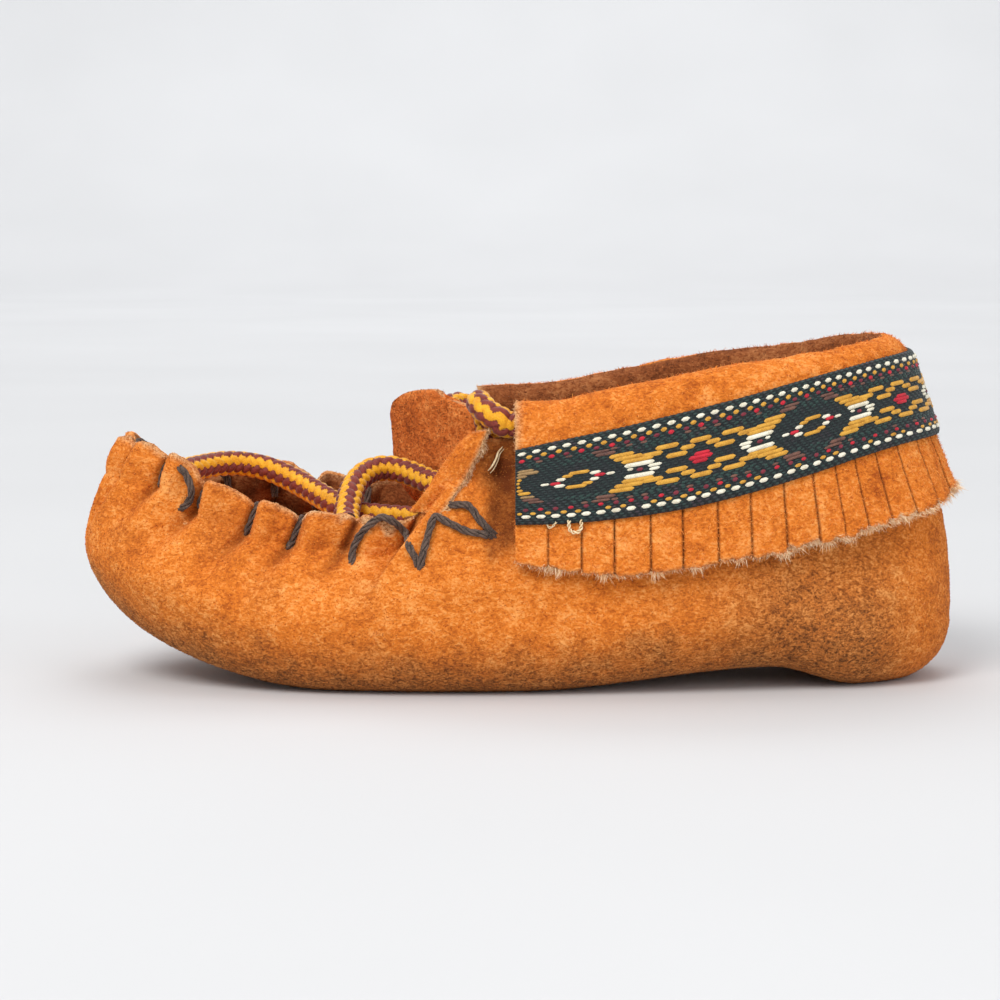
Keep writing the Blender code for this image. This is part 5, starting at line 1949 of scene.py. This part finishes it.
def make_cream_bits(wrap_tree, fringe_tree, braid_tree):
    """A loop of cream sewing thread under the braid, a stray end beside it, and a torn pale fleck of hide."""
    parts = Parts()
    trees = [fringe_tree, braid_tree]

    def on_cuff(x, z, lift):
        return outermost(trees, x, z, -1, lift)[0]

    # the loop lies flat in one plane just off the hide, and only its two ends dip into the braid
    bend = ((69.4, 25.3), (69.33, 24.8), (69.35, 24.1), (69.6, 23.62), (70.15, 23.42), (70.7, 23.62), (70.97, 24.1), (71.0, 24.8), (70.95, 25.3))
    flat = min(on_cuff(x, z, 0.0)[1] for x, z in bend) - 0.12
    loop = [np.array([x - HALF, flat, z]) for x, z in bend]
    loop[0][1] += 0.7
    loop[-1][1] += 0.7
    twisted(parts, spaced(loop, 0.12, rounds=2), 0.55, pitch=1.3, plies=2, sides=8)
    stray = [on_cuff(66.2, 24.0, 0.1), on_cuff(66.6, 24.5, 0.45), on_cuff(67.2, 24.6, 0.4), on_cuff(67.6, 24.9, 0.1)]
    twisted(parts, spaced(stray, 0.12, rounds=2), 0.34, pitch=1.3, plies=2, sides=6)
    for k, (dx, dz, thick) in enumerate(((0.0, 0.0, 0.13), (0.25, -0.35, 0.05))):
        spots = ((58.2, 31.2, 0.0), (58.6, 31.9, 0.4), (59.2, 33.1, 0.5), (59.6, 33.9, 0.35), (60.3, 34.6, 0.0))
        fleck = [outermost([wrap_tree], x + dx * (1 + 0.4 * math.sin(k + x)), z + dz, -1, lift)[0] for x, z, lift in spots]
        fleck = spaced(fleck, 0.15, rounds=2)
        fade = np.linspace(0, 1, len(fleck))
        tube_into(parts, fleck, 0.04 + thick * np.sin(fade * math.pi) ** 0.7, 6, 0)
    obj = parts.build("cream_bits", [M_CREAM])
    return obj


# ------------------------------------------------------------------- build
wrap, WP, WN, WH, WU, WQ, WMASK = make_wrap()
plug, plug_top = make_plug()
tongue, tongue_top, tongue_n = make_tongue()
insole, insole_top = make_insole()
cuff, cuff_c, cuff_out, cuff_n, cuff_t = make_cuff()
fringe, hem_line = make_fringe()
braid, band = make_braid()
make_lace()
wrap_tree = tree_of(wrap)
lapel_near, lapel_far = make_lapel(wrap_tree, -1), make_lapel(wrap_tree, 1)
make_threads(wrap_tree, [tree_of(lapel_near)])
make_cream_bits(wrap_tree, tree_of(fringe), tree_of(braid))


# fibres over the suede pieces, all but the insole
def outside_only(at, normal, index, mask):
    # the far side carries fewer, as it is made like the near one
    from_toe = at[:, 0] + HALF
    under_cuff = (from_toe > 63.5) & (at[:, 2] > cuff_at(from_toe, "hem") + 1.0)
    under = (normal[:, 2] < -0.75) & (at[:, 2] < 2.0)
    return np.where((index == 0) & ~under_cuff, 1.0, 0.0) * np.where(under, 0.3, 1.0) * np.where(mask[:, 1] > 0.5, 2.5, 1.0) * np.where(at[:, 1] > 6, 0.62, 1.0)


def toe_rim_only(at, normal, index, mask):
    x = at[:, 0] + HALF
    return np.where((index == 0) & (mask[:, 1] > 0.3) & (x < 34), 1.0, 0.0)


scale = 1.0
nap = scatter(wrap, 3.5 * scale, 201, outside_only)
fuzz = scatter(wrap, 0.75 * scale, 203, outside_only)
torn_rim = scatter(wrap, 16.0 * scale, 204, toe_rim_only)
for label, side in (("near", -1), ("far", 1)):
    sets = []
    for k, ((at, normal, mask, _), length, lean) in enumerate(((nap, 0.72, 1.0), (fuzz, 0.95, 0.62), (torn_rim, 0.85, 0.75))):
        pick = (at[:, 1] < 0) == (side < 0)
        sets.append((at[pick], normal[pick], mask[pick], np.random.default_rng(300 + 10 * k + side), length, lean, 0.055))
    fibres(f"wrap_fibres_{label}", sets, M_FLUFF)

sets = []
for piece, density, seed in ((cuff, 4.3, 211), (fringe, 5.2, 212)):
    def keep(at, normal, index, mask):
        x = at[:, 0] + HALF
        braided_over = (at[:, 2] > cuff_at(x, "braid_low") + 0.4) & (at[:, 2] < cuff_at(x, "braid_high") - 0.4)
        outward = normal[:, 2] > -0.9
        return np.where(braided_over & (index == 0), 0.0, 1.0) * np.where(index == 1, 0.0, 1.0) * np.where(mask[:, 1] > 0.5, 1.5, 1.0)
    at, normal, mask, local = scatter(piece, density * scale, seed, keep)
    sets.append((at, normal, mask, local, 0.6, 1.08, 0.055))
# ragged pale fibres along the fringe's hem
hem_points = np.concatenate([line[:, 0] for line in hem_line])
hem_normals = np.concatenate([line[:, 1] for line in hem_line])
local = np.random.default_rng(77)
pick = local.integers(0, len(hem_points), int(3600 * scale))
at = leaned(hem_points[pick] + local.normal(size=(len(pick), 3)) * [0.25, 0.15, 0.12])
down = unit(hem_normals[pick] * 0.45 + [0, 0, -1.0])
m = np.tile([0.0, 0.3, 0.0], (len(pick), 1))
torn = smooth(90, 104, at[:, 0] + HALF)
m[:, 1] = np.where(local.random(len(pick)) < 0.50 + 0.35 * torn, 1.0, 0.2)
sets.append((at, down, m, local, 0.9, 0.75, 0.062))
pick = pick[torn > 0.5]
at = leaned(hem_points[pick] + local.normal(size=(len(pick), 3)) * [0.3, 0.15, 0.15])
down = unit(hem_normals[pick] * 0.8 + [0, 0, -1.0])
m = np.tile([0.0, 0.95, 0.0], (len(pick), 1))
sets.append((at, down, m, local, 1.35, 0.8, 0.055))
# small tufts where the hem has torn most
tufts = np.arange(20, len(hem_points), max(1, len(hem_points) // 42))
tufts = tufts + local.integers(-12, 12, len(tufts))
tufts = np.clip(tufts[local.random(len(tufts)) < 0.75], 0, len(hem_points) - 1)
pick = np.repeat(tufts, int(34 * scale) + 4)
at = leaned(hem_points[pick] + local.normal(size=(len(pick), 3)) * [0.38, 0.14, 0.16])
down = unit(hem_normals[pick] * 0.9 + [0, 0, -1.0] + 0.35 * local.normal(size=(len(pick), 3)))
m = np.tile([0.0, 1.0, 0.0], (len(pick), 1))
sets.append((at, down, m, local, 1.5, 0.55, 0.06))
for piece, seed in ((lapel_near, 215), (lapel_far, 216)):
    at, normal, mask, local = scatter(piece, 7.0 * scale, seed, lambda at, normal, index, mask: np.where(mask[:, 1] > 0.5, 2.0, 1.0))
    sets.append((at, normal, mask, local, 0.55, 1.0, 0.05))
fibres("cuff_fibres", sets, M_FLUFF)

# fibres on the tongue, plug and inside faces, in darker colours as painted shade of the opening
sets = []
at, normal, mask, local = scatter(cuff, 2.5 * scale, 221, lambda at, normal, index, mask: np.where(index == 1, 1.0, 0.0))
sets.append((at, normal, mask, local, 0.7, 0.95, 0.06))
at, normal, mask, local = scatter(tongue, 5.0 * scale, 222, lambda at, normal, index, mask: np.where(at[:, 2] > 22, 1.0, 0.0))
sets.append((at, normal, mask, local, 0.5, 0.9, 0.06))
at, normal, mask, local = scatter(plug, 2.4 * scale, 223, lambda at, normal, index, mask: np.where(normal[:, 2] > 0.2, 1.0, 0.0))
sets.append((at, normal, mask, local, 0.5, 1.1, 0.055))
at, normal, mask, local = scatter(wrap, 0.8 * scale, 224, lambda at, normal, index, mask: np.where((index == 1) & (at[:, 2] > 14), 1.0, 0.0))
sets.append((at, normal, mask, local, 0.6, 1.0, 0.06))
fibres("shade_fibres_inside", sets, M_FLUFF_SHADE)


# ------------------------------------------------- floor, light and camera
def make_stage():
    """A pale floor that turns up into a backdrop a long way behind."""
    xs = np.linspace(-4000, 4000, 41)
    turn = np.linspace(0, 90, 16)
    profile = [(-4000.0, 0.0), (-1500.0, 0.0), (0.0, 0.0), (900.0, 0.0)]
    profile += [(1600 + 700 * math.sin(math.radians(t)), 700 * (1 - math.cos(math.radians(t)))) for t in turn]
    profile += [(2300.0, 3200.0)]
    points = np.array([[(x, y, z) for x in xs] for y, z in profile])
    mesh = bpy.data.meshes.new("stage_floor")
    faces = grid_faces(len(profile), len(xs))
    mesh.from_pydata([tuple(p) for p in (points.reshape(-1, 3) * 0.001)], [], [tuple(int(i) for i in f) for f in faces])
    for poly in mesh.polygons:
        poly.use_smooth = True
    n = Nodes("floor").set(Roughness=0.85)
    n.shader.inputs["Specular IOR Level"].default_value = 0.15
    tone = n.noise(160.0, 2.0, 0.5)
    mesh.materials.append(n.colour(n.ramp(tone, (0.3, srgb(206, 207, 209)), (0.7, srgb(210, 211, 213)))))
    obj = bpy.data.objects.new("stage_floor", mesh)
    bpy.context.scene.collection.objects.link(obj)


def add_light(name, at, aim, power, size, colour=(1, 1, 1)):
    data = bpy.data.lights.new(name, "AREA")
    data.shape = "DISK"
    data.size = size
    data.energy = power
    data.color = colour
    obj = bpy.data.objects.new(name, data)
    obj.location = at
    obj.rotation_mode = "QUATERNION"
    obj.rotation_quaternion = (Vector(aim) - Vector(at)).to_track_quat("-Z", "Y")
    bpy.context.scene.collection.objects.link(obj)


make_stage()
add_light("key", (-0.40, -0.75, 0.90), (0, 0, 0.02), 9.0, 0.6, (1.0, 0.985, 0.96))
add_light("fill", (0.75, -0.85, 0.45), (0, 0, 0.02), 3.0, 0.8, (0.97, 0.98, 1.0))
add_light("top", (0.0, 0.25, 1.1), (0, 0, 0.0), 1.5, 0.9)
add_light("backdrop", (0.0, 1.35, 1.5), (0, 2.0, 0.1), 16.0, 1.6)
world = bpy.data.worlds.new("soft_room")
world.use_nodes = True
world.node_tree.nodes["Background"].inputs[0].default_value = (0.94, 0.94, 0.94, 1)
world.node_tree.nodes["Background"].inputs[1].default_value = 0.72
bpy.context.scene.world = world
bpy.context.scene.view_settings.view_transform = "Standard"
bpy.context.scene.view_settings.look = "None"

camera_data = bpy.data.cameras.new("camera")
camera_data.sensor_width = 36
camera_data.lens = 105
camera_data.clip_start, camera_data.clip_end = 0.01, 20
camera = bpy.data.objects.new("camera", camera_data)
ELEVATION, DISTANCE = math.radians(6.0), 0.4243
aim = Vector((float(placed(np.array([59.9 - HALF, 0, 0]))[0]), 0.0, 0.0252))
back = Vector((0, -math.cos(ELEVATION), math.sin(ELEVATION)))
camera.location = aim + back * DISTANCE
camera.rotation_mode = "QUATERNION"
camera.rotation_quaternion = (-back).to_track_quat("-Z", "Y")
bpy.context.scene.collection.objects.link(camera)
bpy.context.scene.camera = camera
